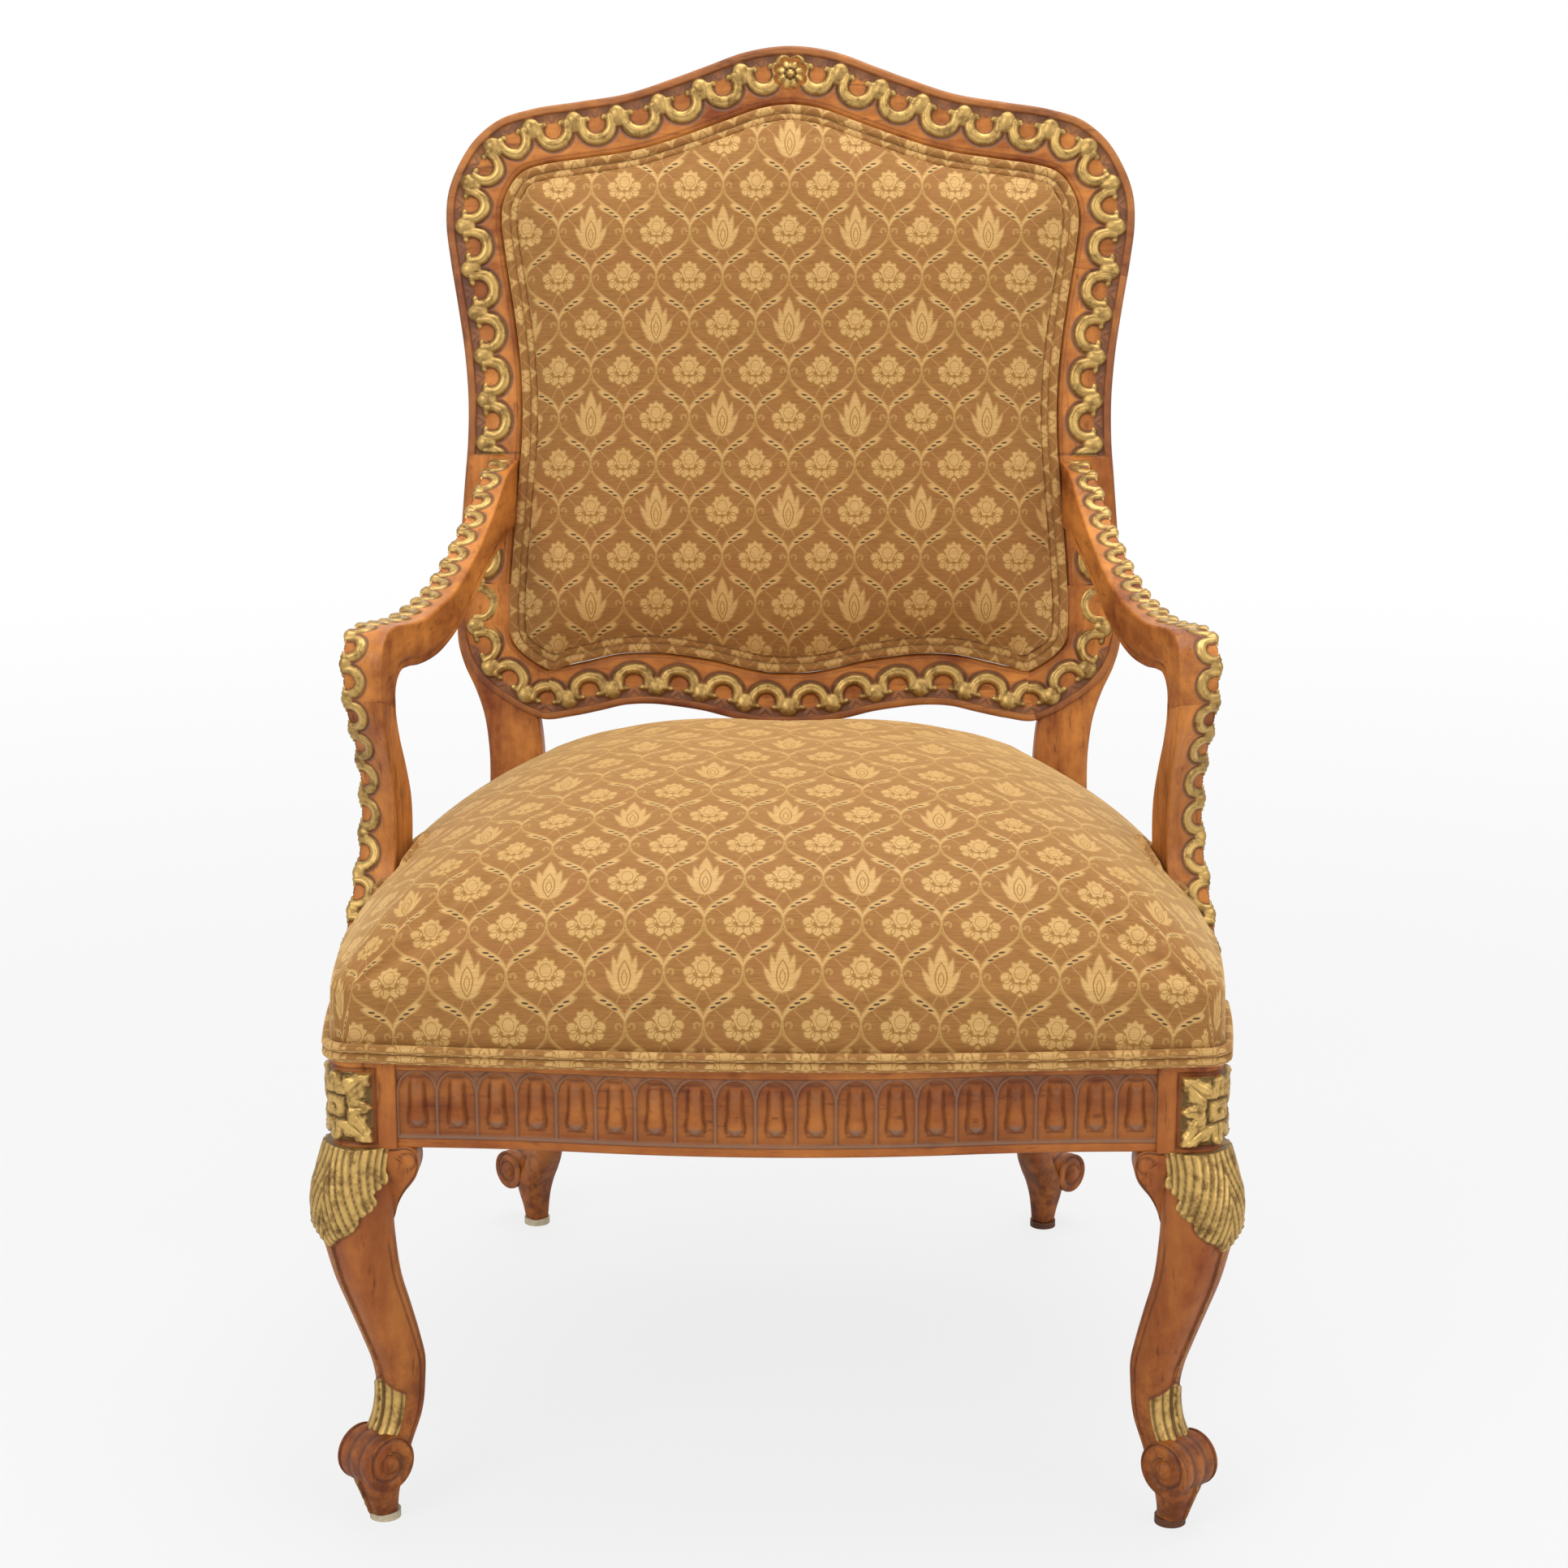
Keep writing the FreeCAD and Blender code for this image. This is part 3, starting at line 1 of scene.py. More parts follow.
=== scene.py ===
import json
import math
import bpy
import numpy as np
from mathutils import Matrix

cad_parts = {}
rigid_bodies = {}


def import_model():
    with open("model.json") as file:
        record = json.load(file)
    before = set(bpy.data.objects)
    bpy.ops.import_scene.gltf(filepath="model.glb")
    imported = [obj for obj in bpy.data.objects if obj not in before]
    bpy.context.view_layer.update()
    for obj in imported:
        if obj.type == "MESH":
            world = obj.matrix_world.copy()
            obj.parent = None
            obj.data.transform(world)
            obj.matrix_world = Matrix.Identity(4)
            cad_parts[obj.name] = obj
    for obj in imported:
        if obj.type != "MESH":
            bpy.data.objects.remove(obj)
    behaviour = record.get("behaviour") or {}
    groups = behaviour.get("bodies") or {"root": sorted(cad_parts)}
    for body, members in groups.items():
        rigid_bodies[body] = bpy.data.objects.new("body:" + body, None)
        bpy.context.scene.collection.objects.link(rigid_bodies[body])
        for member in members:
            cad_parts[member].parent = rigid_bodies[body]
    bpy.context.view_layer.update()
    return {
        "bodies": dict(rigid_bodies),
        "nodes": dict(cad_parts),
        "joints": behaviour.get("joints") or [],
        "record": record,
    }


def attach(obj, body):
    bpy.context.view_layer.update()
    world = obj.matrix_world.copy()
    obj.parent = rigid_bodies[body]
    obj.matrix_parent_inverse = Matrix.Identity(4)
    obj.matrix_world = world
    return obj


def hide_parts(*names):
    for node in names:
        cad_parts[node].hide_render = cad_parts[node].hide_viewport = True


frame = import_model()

# Lengths below are in millimetres and become metres where a mesh is made

milli = 0.001


# Curves

def evenly(curve, count):
    # The same curve at evenly spaced points
    steps = np.linalg.norm(np.diff(curve, axis=0), axis=1)
    run = np.concatenate([[0], np.cumsum(steps)])
    places = np.linspace(0, run[-1], count)
    return np.stack([np.interp(places, run, column) for column in curve.T], axis=1)


def through(points, count):
    # Cubic through the points, with slopes from their neighbours
    points = np.asarray(points, float)
    chords = np.linalg.norm(np.diff(points, axis=0), axis=1)
    run = np.concatenate([[0], np.cumsum(chords)])
    slopes = np.gradient(points, run, axis=0)
    fine = np.linspace(0, run[-1], 40 * len(points))
    piece = np.clip(np.searchsorted(run, fine, side="right") - 1, 0, len(run) - 2)
    span = chords[piece][:, None]
    t = (fine - run[piece])[:, None] / span
    start = (2 * t ** 3 - 3 * t ** 2 + 1) * points[piece] + (t ** 3 - 2 * t ** 2 + t) * slopes[piece] * span
    end = (3 * t ** 2 - 2 * t ** 3) * points[piece + 1] + (t ** 3 - t ** 2) * slopes[piece + 1] * span
    return evenly(start + end, count)


def smoothRow(values, stations, places):
    # One value per place, on a smooth line through the values at the stations
    line = through(np.stack([stations, values], axis=1), 400)
    return np.interp(places, line[:, 0], line[:, 1])


def lengthAlong(curve):
    steps = np.linalg.norm(np.diff(curve, axis=0), axis=1)
    return np.concatenate([[0], np.cumsum(steps)])


def normals2d(curve):
    # Unit normals to the left of a plane curve
    slope = unit(np.gradient(curve, axis=0))
    return np.stack([-slope[:, 1], slope[:, 0]], axis=1)


def planNormals(plan):
    # Unit normals to the right of a closed plane curve
    return -normals2d(np.concatenate([plan[-2:], plan, plan[:2]]))[2:-2]


def bell(away, width):
    return np.exp(-(away / width) ** 2)


def unit(rows):
    return rows / np.linalg.norm(rows, axis=1)[:, None]


def smoothed(values):
    # Each inner value with a quarter of both its neighbours
    return (values[:-2] + 2 * values[1:-1] + values[2:]) / 4


def ease(low, high, x):
    t = np.clip((x - low) / (high - low), 0, 1)
    return t * t * (3 - 2 * t)


def rounded(x):
    # Round-topped ridge: 1 in the middle, 0 at a distance of 1
    return np.clip(1 - x * x, 0, 1) ** 0.6


def hashNoise(x, y, seed):
    # Smooth noise between -1 and 1 on a unit grid
    def corner(i, j):
        value = np.sin(i * 127.1 + j * 311.7 + seed * 74.7) * 43758.5453
        return 2 * (value - np.floor(value)) - 1
    i, j = np.floor(x), np.floor(y)
    a, b = ease(0, 1, x - i), ease(0, 1, y - j)
    low = corner(i, j) * (1 - a) + corner(i + 1, j) * a
    high = corner(i, j + 1) * (1 - a) + corner(i + 1, j + 1) * a
    return low * (1 - b) + high * b


# Meshes

def meshFrom(name, points, faces, marks=None, uv=None):
    mesh = bpy.data.meshes.new(name)
    mesh.from_pydata((np.asarray(points) * milli).tolist(), [], faces)
    mesh.polygons.foreach_set("use_smooth", np.ones(len(mesh.polygons), bool))
    for mark, values in (marks or {}).items():
        layer = mesh.attributes.new(mark, "FLOAT", "POINT")
        layer.data.foreach_set("value", np.ascontiguousarray(values, dtype=np.float32).ravel())
    if uv is not None:
        corners = np.empty(len(mesh.loops), np.int32)
        mesh.loops.foreach_get("vertex_index", corners)
        layer = mesh.uv_layers.new(name="cloth")
        layer.data.foreach_set("uv", (uv.reshape(-1, 2)[corners] * milli).astype(np.float32).ravel())
    mesh.validate()
    mesh.update()
    return mesh


def addPiece(name, mesh, material, slotName, *nodes):
    piece = bpy.data.objects.new(name, mesh)
    bpy.context.scene.collection.objects.link(piece)
    mesh.materials.clear()
    mesh.materials.append(material)
    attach(piece, "root")
    if nodes:
        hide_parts(*nodes)
    return piece


def quads(rows, columns, around, flip):
    # Faces of a grid of points, closed across when around is true
    index = np.arange(rows * columns).reshape(rows, columns)
    after = np.roll(index, -1, axis=1) if around else index[:, 1:]
    before = index if around else index[:, :-1]
    faces = np.stack([before[:-1], after[:-1], after[1:], before[1:]], axis=-1).reshape(-1, 4)
    if flip:
        faces = faces[:, ::-1]
    return faces.tolist()


def skin(points, gold=0.0, cavity=0.0, waxAndHighlight=0.0, flip=False, loop=False):
    # Closed skin round a grid of sections, capped at its ends or joined into a ring
    rows, columns = points.shape[:2]
    faces = quads(rows, columns, True, flip)
    if loop:
        last = np.arange(columns) + (rows - 1) * columns
        first = np.arange(columns)
        ring = np.stack([last, np.roll(last, -1), np.roll(first, -1), first], axis=-1)
        faces += (ring[:, ::-1] if flip else ring).tolist()
    else:
        low = list(range(columns))
        high = [(rows - 1) * columns + k for k in range(columns)]
        faces += [low, high[::-1]] if flip else [low[::-1], high]
    blank = np.zeros((rows, columns))
    marks = np.stack([gold + blank, cavity + blank, waxAndHighlight + blank], axis=-1)
    return points.reshape(-1, 3), faces, marks.reshape(-1, 3)


def merged(name, *skins):
    # One mesh of several closed skins
    points, faces, marks = [], [], []
    count = 0
    for part in skins:
        points.append(part[0])
        faces += [[corner + count for corner in face] for face in part[1]]
        marks.append(part[2])
        count += len(part[0])
    columns = np.concatenate(marks).T
    return meshFrom(name, np.concatenate(points), faces, dict(zip(("gold", "cavity", "waxAndHighlight"), columns)))


def mirroredMesh(name, mesh):
    # The same mesh on the other side of the chair
    twin = mesh.copy()
    twin.name = name
    places = np.empty(len(twin.vertices) * 3, np.float32)
    twin.vertices.foreach_get("co", places)
    places = places.reshape(-1, 3)
    places[:, 0] *= -1
    twin.vertices.foreach_set("co", places.ravel())
    twin.flip_normals()
    twin.update()
    return twin


def bothSides(stem, mesh, material, slotName, nodeStems, twinMaterial=None):
    # The right-hand piece and its mirror image on the left
    right = [f"{node}_right" for node in nodeStems]
    left = [f"{node}_left" for node in nodeStems]
    twin = mirroredMesh(f"{stem}Left", mesh)
    addPiece(f"{stem}Right", mesh, material, slotName, *right)
    addPiece(f"{stem}Left", twin, twinMaterial or material, slotName, *left)


# Shader arithmetic

class Term:
    def __init__(self, paint, socket):
        self.paint = paint
        self.socket = socket

    def __add__(self, other):
        return self.paint.maths("ADD", self, other)

    def __sub__(self, other):
        return self.paint.maths("SUBTRACT", self, other)

    def __rsub__(self, other):
        return self.paint.maths("SUBTRACT", other, self)

    def __mul__(self, other):
        return self.paint.maths("MULTIPLY", self, other)

    def __truediv__(self, other):
        return self.paint.maths("DIVIDE", self, other)

    def __neg__(self):
        return self.paint.maths("MULTIPLY", self, -1)

    def __abs__(self):
        return self.paint.maths("ABSOLUTE", self)

    __radd__ = __add__
    __rmul__ = __mul__


class Paint:
    def __init__(self, name, kind=bpy.data.materials):
        self.material = kind.new(name)
        self.material.use_nodes = True
        self.tree = self.material.node_tree
        self.tree.nodes.clear()

    def node(self, kind, settings=None, inputs=None):
        made = self.tree.nodes.new(f"ShaderNode{kind}")
        for key, value in (settings or {}).items():
            setattr(made, key, value)
        for key, value in (inputs or {}).items():
            socket = made.inputs[key]
            if isinstance(value, Term):
                self.tree.links.new(value.socket, socket)
            else:
                socket.default_value = value
        return made

    def term(self, node, output=0):
        return Term(self, node.outputs[output])

    def maths(self, operation, *values):
        return self.term(self.node("Math", {"operation": operation}, dict(enumerate(values))))

    def low(self, a, b):
        return self.maths("MINIMUM", a, b)

    def high(self, a, b):
        return self.maths("MAXIMUM", a, b)

    def clamp(self, a):
        return self.term(self.node("Clamp", None, {"Value": a}))

    def ease(self, low, high, x):
        inputs = {"Value": x, "From Min": low, "From Max": high}
        return self.term(self.node("MapRange", {"interpolation_type": "SMOOTHSTEP"}, inputs))

    def away(self, x, y):
        # Distance of (x, y) from the middle
        return self.maths("SQRT", x * x + y * y)

    def blend(self, factor, a, b, how="MIX"):
        inputs = {0: factor, 6: a, 7: b}
        made = self.node("Mix", {"data_type": "RGBA", "blend_type": how}, inputs)
        return self.term(made, 2)

    def place(self):
        return self.term(self.node("TexCoord"), "Object")

    def mark(self, name):
        return self.term(self.node("Attribute", {"attribute_name": name}), "Fac")

    def scaled(self, place, scale):
        return self.term(self.node("Mapping", None, {"Vector": place, "Scale": scale}))

    def noise(self, place, scale, detail=3, roughness=0.55):
        inputs = {"Vector": place, "Scale": scale, "Detail": detail, "Roughness": roughness}
        return self.term(self.node("TexNoise", None, inputs))

    def bump(self, height, distance, strength=1.0, normal=None):
        inputs = {"Height": height, "Distance": distance, "Strength": strength}
        if normal is not None:
            inputs["Normal"] = normal
        return self.term(self.node("Bump", None, inputs))

    def surface(self, inputs):
        self.show(self.node("BsdfPrincipled", None, inputs), "OutputMaterial")
        return self.material

    def show(self, shader, kind):
        self.tree.links.new(shader.outputs[0], self.node(kind).inputs["Surface"])

    def either(self, factor, first, second):
        mix = self.node("MixShader", None, {0: factor})
        self.tree.links.new(first.outputs[0], mix.inputs[1])
        self.tree.links.new(second.outputs[0], mix.inputs[2])
        return mix


def colour(red, green, blue):
    # Linear colour of a display colour with values from 0 to 255
    return tuple((v / 255) ** 2.2 for v in (red, green, blue)) + (1,)


# Materials

wood = {
    "dark": colour(120, 57, 20), "light": colour(218, 140, 66), "lowerTone": colour(126, 54, 14),
    "fleck": colour(80, 38, 16), "scuffed": colour(86, 40, 16), "dirtAndShade": colour(84, 46, 32),
    "waxAndHighlight": colour(120, 94, 78),
    "leaf": colour(208, 170, 100), "leafWorn": colour(122, 90, 48), "leafDirtAndShade": colour(84, 62, 34),
}


def carvedWood(name, grain):
    # Stained wood, darker on the legs; marks give the gilding, dirt with painted shade in recesses and under the
    # carving, and greyish wax on ribs with painted highlights on the batons
    p = Paint(name)
    place = p.place()
    along = p.scaled(place, grain)
    broad = p.noise(place, 9, 4)
    fibre = p.noise(along, 26, 6, 0.65)
    speck = p.noise(along, 130, 3, 0.7)
    mottle = p.noise(place, 42, 5, 0.7)
    tone = p.clamp((fibre - 0.5) * 2.4 + (broad - 0.5) * 1.4 + (mottle - 0.5) * 1.0 + 0.5)
    base = p.blend(tone, wood["dark"], wood["light"])
    parts = p.node("SeparateXYZ", None, {0: place})
    # darker towards the bottom, on the seat rails and legs
    lowerTone = p.ease(0.43, 0.30, p.term(parts, 2))
    base = p.blend(lowerTone * 0.5, base, wood["lowerTone"])
    fleck = p.ease(0.58, 0.72, speck)
    base = p.blend(fleck * 0.6, base, wood["fleck"])
    gold = p.mark("gold")
    cavity = p.mark("cavity")
    waxAndHighlight = p.mark("waxAndHighlight")
    wear = p.noise(place, 60, 5, 0.7)
    scuffs = p.ease(0.2, 0.02, p.term(parts, 2)) * p.ease(0.4, 0.62, wear) * 0.7
    base = p.blend(p.clamp(scuffs), base, wood["scuffed"])
    # dirt and painted shade: darker in recesses, under the carving and beside the batons
    base = p.blend(p.clamp(cavity * 0.9 * (wear + 0.35)), base, wood["dirtAndShade"])
    # greyish wax on the ribs, and painted highlights on the batons' bulbs and ridges
    base = p.blend(p.clamp(waxAndHighlight * (wear + 0.3)), base, wood["waxAndHighlight"])
    patina = p.ease(0.43, 0.7, p.noise(place, 85, 5, 0.75))
    leaf = p.blend(patina, wood["leaf"], wood["leafWorn"])
    # gilding browner in its hollows and down its sides: patina and painted shade
    leaf = p.blend(p.clamp(cavity * 0.95), leaf, wood["leafDirtAndShade"])
    gilt = p.ease(0.35, 0.6, gold + (wear - 0.5) * 0.35)
    base = p.blend(gilt, base, leaf)
    rough = 0.46 - 0.12 * gilt + (speck - 0.5) * 0.18 + cavity * 0.12
    relief = p.bump(fibre * 0.6 + speck * 0.4, 0.0006, 0.28)
    return p.surface({
        "Base Color": base, "Roughness": rough, "Metallic": gilt * 0.6, "Normal": relief,
        "Coat Weight": 0.05, "Coat Roughness": 0.3, "Specular IOR Level": 0.24,
    })


def plainWood(name, dark, light):
    p = Paint(name)
    place = p.place()
    fibre = p.noise(p.scaled(place, (6, 60, 60)), 3, 6, 0.65)
    base = p.blend(p.ease(0.3, 0.7, fibre), dark, light)
    relief = p.bump(fibre, 0.0004, 0.3)
    return p.surface({"Base Color": base, "Roughness": 0.6, "Normal": relief})


silk = {
    "width": 58.5, "height": 82.0, "groundDark": colour(130, 84, 42), "groundLight": colour(168, 121, 66),
    "groundCloud": colour(156, 100, 60), "figureDark": colour(196, 154, 92), "figureLight": colour(214, 172, 112),
    "stalk": colour(184, 138, 86), "outline": colour(146, 104, 40), "dot": colour(40, 32, 26),
    "shade": colour(120, 82, 44), "sheen": colour(255, 216, 150),
}
# petals of the lotus: across, up, radius; leaves of the flame: across, up, tilt, reach, half width
lotusPetals = [(10.6, -0.6, 4.7), (9.2, -6.6, 4.4), (3.7, -8.9, 4.3), (0.0, -13.4, 2.6)]
flameLeaves = [(0, 2.5, 0, 21, 6.2), (5.2, -1.5, 14, 15.5, 3.9), (8.6, -6.0, 30, 11.5, 3.2), (4.5, -14, 60, 7, 2.2)]


def damask(name):
    # Ogee lattice of leafy stems, a lotus or a flame in each cell; the map "cloth" is in metres
    p = Paint(name)
    width, height = silk["width"], silk["height"]
    uv = p.term(p.node("UVMap", {"uv_map": "cloth"}))
    parts = p.node("SeparateXYZ", None, {0: uv})
    u = p.term(parts, 0) * (1 / (milli * width))
    v = p.term(parts, 1) * (1 / (milli * height))
    column, row = p.maths("ROUND", u), p.maths("ROUND", v)
    offU, offV = u - column, v - row
    x = abs(offU) * width
    y = offV * height
    upper = p.maths("GREATER_THAN", y, 0)
    t = abs(offV) * 2
    steps = {"Value": t, "From Min": 0, "From Max": 1}
    swing = p.term(p.node("MapRange", {"interpolation_type": "SMOOTHERSTEP"}, steps))
    stem = (1 - swing) * (width / 2)
    tilt = t * t * (1 - t) * (1 - t) * (30 * width / height)
    aside = (x - stem) / p.maths("SQRT", tilt * tilt + 1)
    below = aside * (1 - 2 * upper)
    fall = t + upper * (1 - 2 * t)

    # leafy band with three dark dots
    swell = p.maths("SQRT", p.clamp((fall - 0.42) * 11)) * (1 - p.ease(0.5, 0.98, fall))
    notch = p.maths("SINE", fall * 46) * 0.35
    under = 1.0 + swell * (4.4 + notch)
    over = 1.15 + p.clamp(1 - abs(fall - 0.6) * 2.6) * 0.9
    band = p.high(below - under, -below - over)
    step = p.high(-1, p.low(1, p.maths("ROUND", (fall - 0.61) * 12.5)))
    dot = p.away((fall - 0.61 - step * 0.08) * 62, below - 1.5) - 1.4

    # scrolls at each crossing
    far = p.maths("GREATER_THAN", t, 0.5)
    sign = 1 - 2 * upper
    crossX = far * x + (1 - far) * (width / 2 - x)
    crossY = y + far * sign * (height / 2)
    ring = abs(p.away(crossX - 4.9, crossY + 0.6) - 2.1) - 0.8
    cut = p.low(6.0 - crossX, -1.3 - crossY)
    scroll = p.high(ring, cut)
    lines = p.low(scroll, band)

    # motif in each cell
    inside = p.maths("LESS_THAN", aside, 0)
    motifX = inside * x + (1 - inside) * (width / 2 - x)
    motifY = y + (1 - inside) * sign * (height / 2)
    turn = p.maths("ARCTAN2", motifX, motifY - 4.2)
    crown = p.away(motifX, (motifY - 4.2) * 0.94) - 8.6 - 0.9 * p.maths("COSINE", turn * 9)
    lotus = crown
    seams = None
    for petalX, petalY, radius in lotusPetals:
        petal = p.away(motifX - petalX, motifY - petalY) - radius
        seams = abs(petal) if seams is None else p.low(seams, abs(petal))
        lotus = p.low(lotus, petal)
    bud = abs(p.away(motifX * 1.2, motifY - 3.4) - 5.2)
    seams = p.low(p.low(seams, bud), abs(crown))
    flame = p.away(motifX, motifY + 9) - 6.0
    for leafX, leafY, degrees, reach, wide in flameLeaves:
        sine, cosine = math.sin(math.radians(degrees)), math.cos(math.radians(degrees))
        along = (motifX - leafX) * sine + (motifY - leafY) * cosine
        across = (motifX - leafX) * cosine - (motifY - leafY) * sine
        flame = p.low(flame, abs(across) - (1 - along * along * (1 / reach ** 2)) * wide)
    eye = motifX - (1 - (motifY + 3) * (motifY + 3) * (1 / 144)) * 4.4
    seed = motifX - (1 - (motifY + 4.5) * (motifY + 4.5) * (1 / 36)) * 2.0
    heart = p.low(abs(eye) * 0.6, abs(seed) * 0.8)
    parity = p.maths("ABSOLUTE", column + row)
    even = p.maths("LESS_THAN", p.maths("MODULO", parity, 2), 0.5)
    isFlame = even * inside
    motif = isFlame * flame + (1 - isFlame) * lotus
    seams = isFlame * heart + (1 - isFlame) * seams

    # thin stems that tie the motif to the bands
    stalkUp = p.high(abs(motifY - motifX + 9.9) * 0.7 - 0.45, abs(motifX - 16) - 4.5)
    stalkDown = p.high(abs(motifX + motifY * 0.5 + 6.0) * 0.85 - 0.45, abs(motifY + 19) - 5)
    thin = p.low(stalkUp, stalkDown)

    solid = p.low(lines, motif)
    figure = p.ease(0.3, -0.3, solid)
    thinFigure = p.ease(0.3, -0.3, thin) * (1 - figure)
    edge = p.ease(0.55, 0.1, abs(solid + 0.55)) * figure
    vein = p.ease(0.5, 0.1, seams) * p.ease(0.2, -0.4, motif)
    midrib = p.ease(0.42, 0.05, abs(below - 0.2)) * p.ease(0.3, -0.3, band) * p.ease(0.45, 0.1, fall)
    spot = p.ease(0.25, -0.25, dot)

    slub = p.noise(p.scaled(uv, (60, 900, 1)), 1.2, 3, 0.6)
    cloud = p.noise(uv, 22, 2)
    thread = p.noise(p.scaled(uv, (700, 1600, 1)), 1, 2, 0.6)
    ground = p.blend(p.clamp((slub - 0.5) * 2.2 + 0.5), silk["groundDark"], silk["groundLight"])
    ground = p.blend(p.ease(0.45, 0.75, cloud) * 0.4, ground, silk["groundCloud"])
    raised = p.blend(p.ease(0.4, 0.65, slub), silk["figureDark"], silk["figureLight"])
    base = p.blend(figure, ground, raised)
    base = p.blend(thinFigure * 0.8, base, silk["stalk"])
    base = p.blend(p.clamp(edge * 0.7 + vein * 0.95 + midrib * 0.8), base, silk["outline"])
    base = p.blend(spot * 0.95, base, silk["dot"])
    base = p.blend((thread - 0.5) * 0.35 + 0.18, base, silk["shade"])
    lift = figure * 0.5 + thread * 0.5 - edge * 0.15
    relief = p.bump(lift, 0.0005, 0.35)
    return p.surface({
        "Base Color": base, "Roughness": 0.78 - 0.16 * figure, "Normal": relief,
        "Sheen Weight": 0.7, "Sheen Roughness": 0.45, "Sheen Tint": silk["sheen"], "Specular IOR Level": 0.24,
    })


def plainCloth(name, dark, light, scale=900):
    p = Paint(name)
    place = p.place()
    weave = p.noise(p.scaled(place, (scale, scale, scale)), 1, 2, 0.6)
    base = p.blend(p.ease(0.3, 0.7, weave), dark, light)
    relief = p.bump(weave, 0.0004, 0.4)
    return p.surface({"Base Color": base, "Roughness": 0.85, "Normal": relief, "Sheen Weight": 0.2})


def steel(name, tint):
    p = Paint(name)
    fine = p.noise(p.place(), 300, 3)
    return p.surface({"Base Color": tint, "Metallic": 1.0, "Roughness": 0.3 + fine * 0.25})


def dullPlastic(name, tint):
    p = Paint(name)
    fine = p.noise(p.place(), 400, 3)
    base = p.blend(p.ease(0.35, 0.75, fine), tint, tuple(0.72 * v for v in tint[:3]) + (1,))
    return p.surface({"Base Color": base, "Roughness": 0.5, "Normal": p.bump(fine, 0.0002, 0.2)})


upright = carvedWood("carvedWoodUpright", (1.0, 1.0, 0.14))
crosswise = carvedWood("carvedWoodCrosswise", (0.14, 1.0, 1.0))
lengthwise = carvedWood("carvedWoodLengthwise", (1.0, 0.14, 1.0))
cloth = damask("damaskCloth")
beech = plainWood("plainBeech", colour(176, 138, 92), colour(214, 178, 128))
jute = plainCloth("jute", colour(150, 118, 70), colour(196, 162, 108), 500)
cambric = plainCloth("cambric", colour(24, 24, 26), colour(46, 45, 48))
filling = plainCloth("filling", colour(212, 204, 180), colour(236, 230, 212), 120)
bright = steel("brightSteel", (0.56, 0.56, 0.56, 1))
blued = steel("bluedSteel", (0.05, 0.05, 0.07, 1))
paleGlide = dullPlastic("paleGlide", colour(205, 190, 160))
darkGlide = dullPlastic("darkGlide", colour(96, 58, 34))
print("materials made", flush=True)


# Running ornament of the frame: gilt scallops open towards the outer edge, with knobs between them

scallop = {
    "pitch": 38.8, "knobFrom": 15.5, "knobRadius": 8.5, "knobHeight": 5.4,
    "cupFrom": 22.6, "cupRadius": 12.9, "cupHalf": 5.8, "cupHeight": 4.6,
    "tipAside": 7.4, "tipFrom": 16.6, "tipRadius": 3.3,
    "ringRadius": 21.0, "ringHalf": 1.6, "ringHeight": 2.2,
    "lipWidth": 7.6, "floor": -3.2,
}


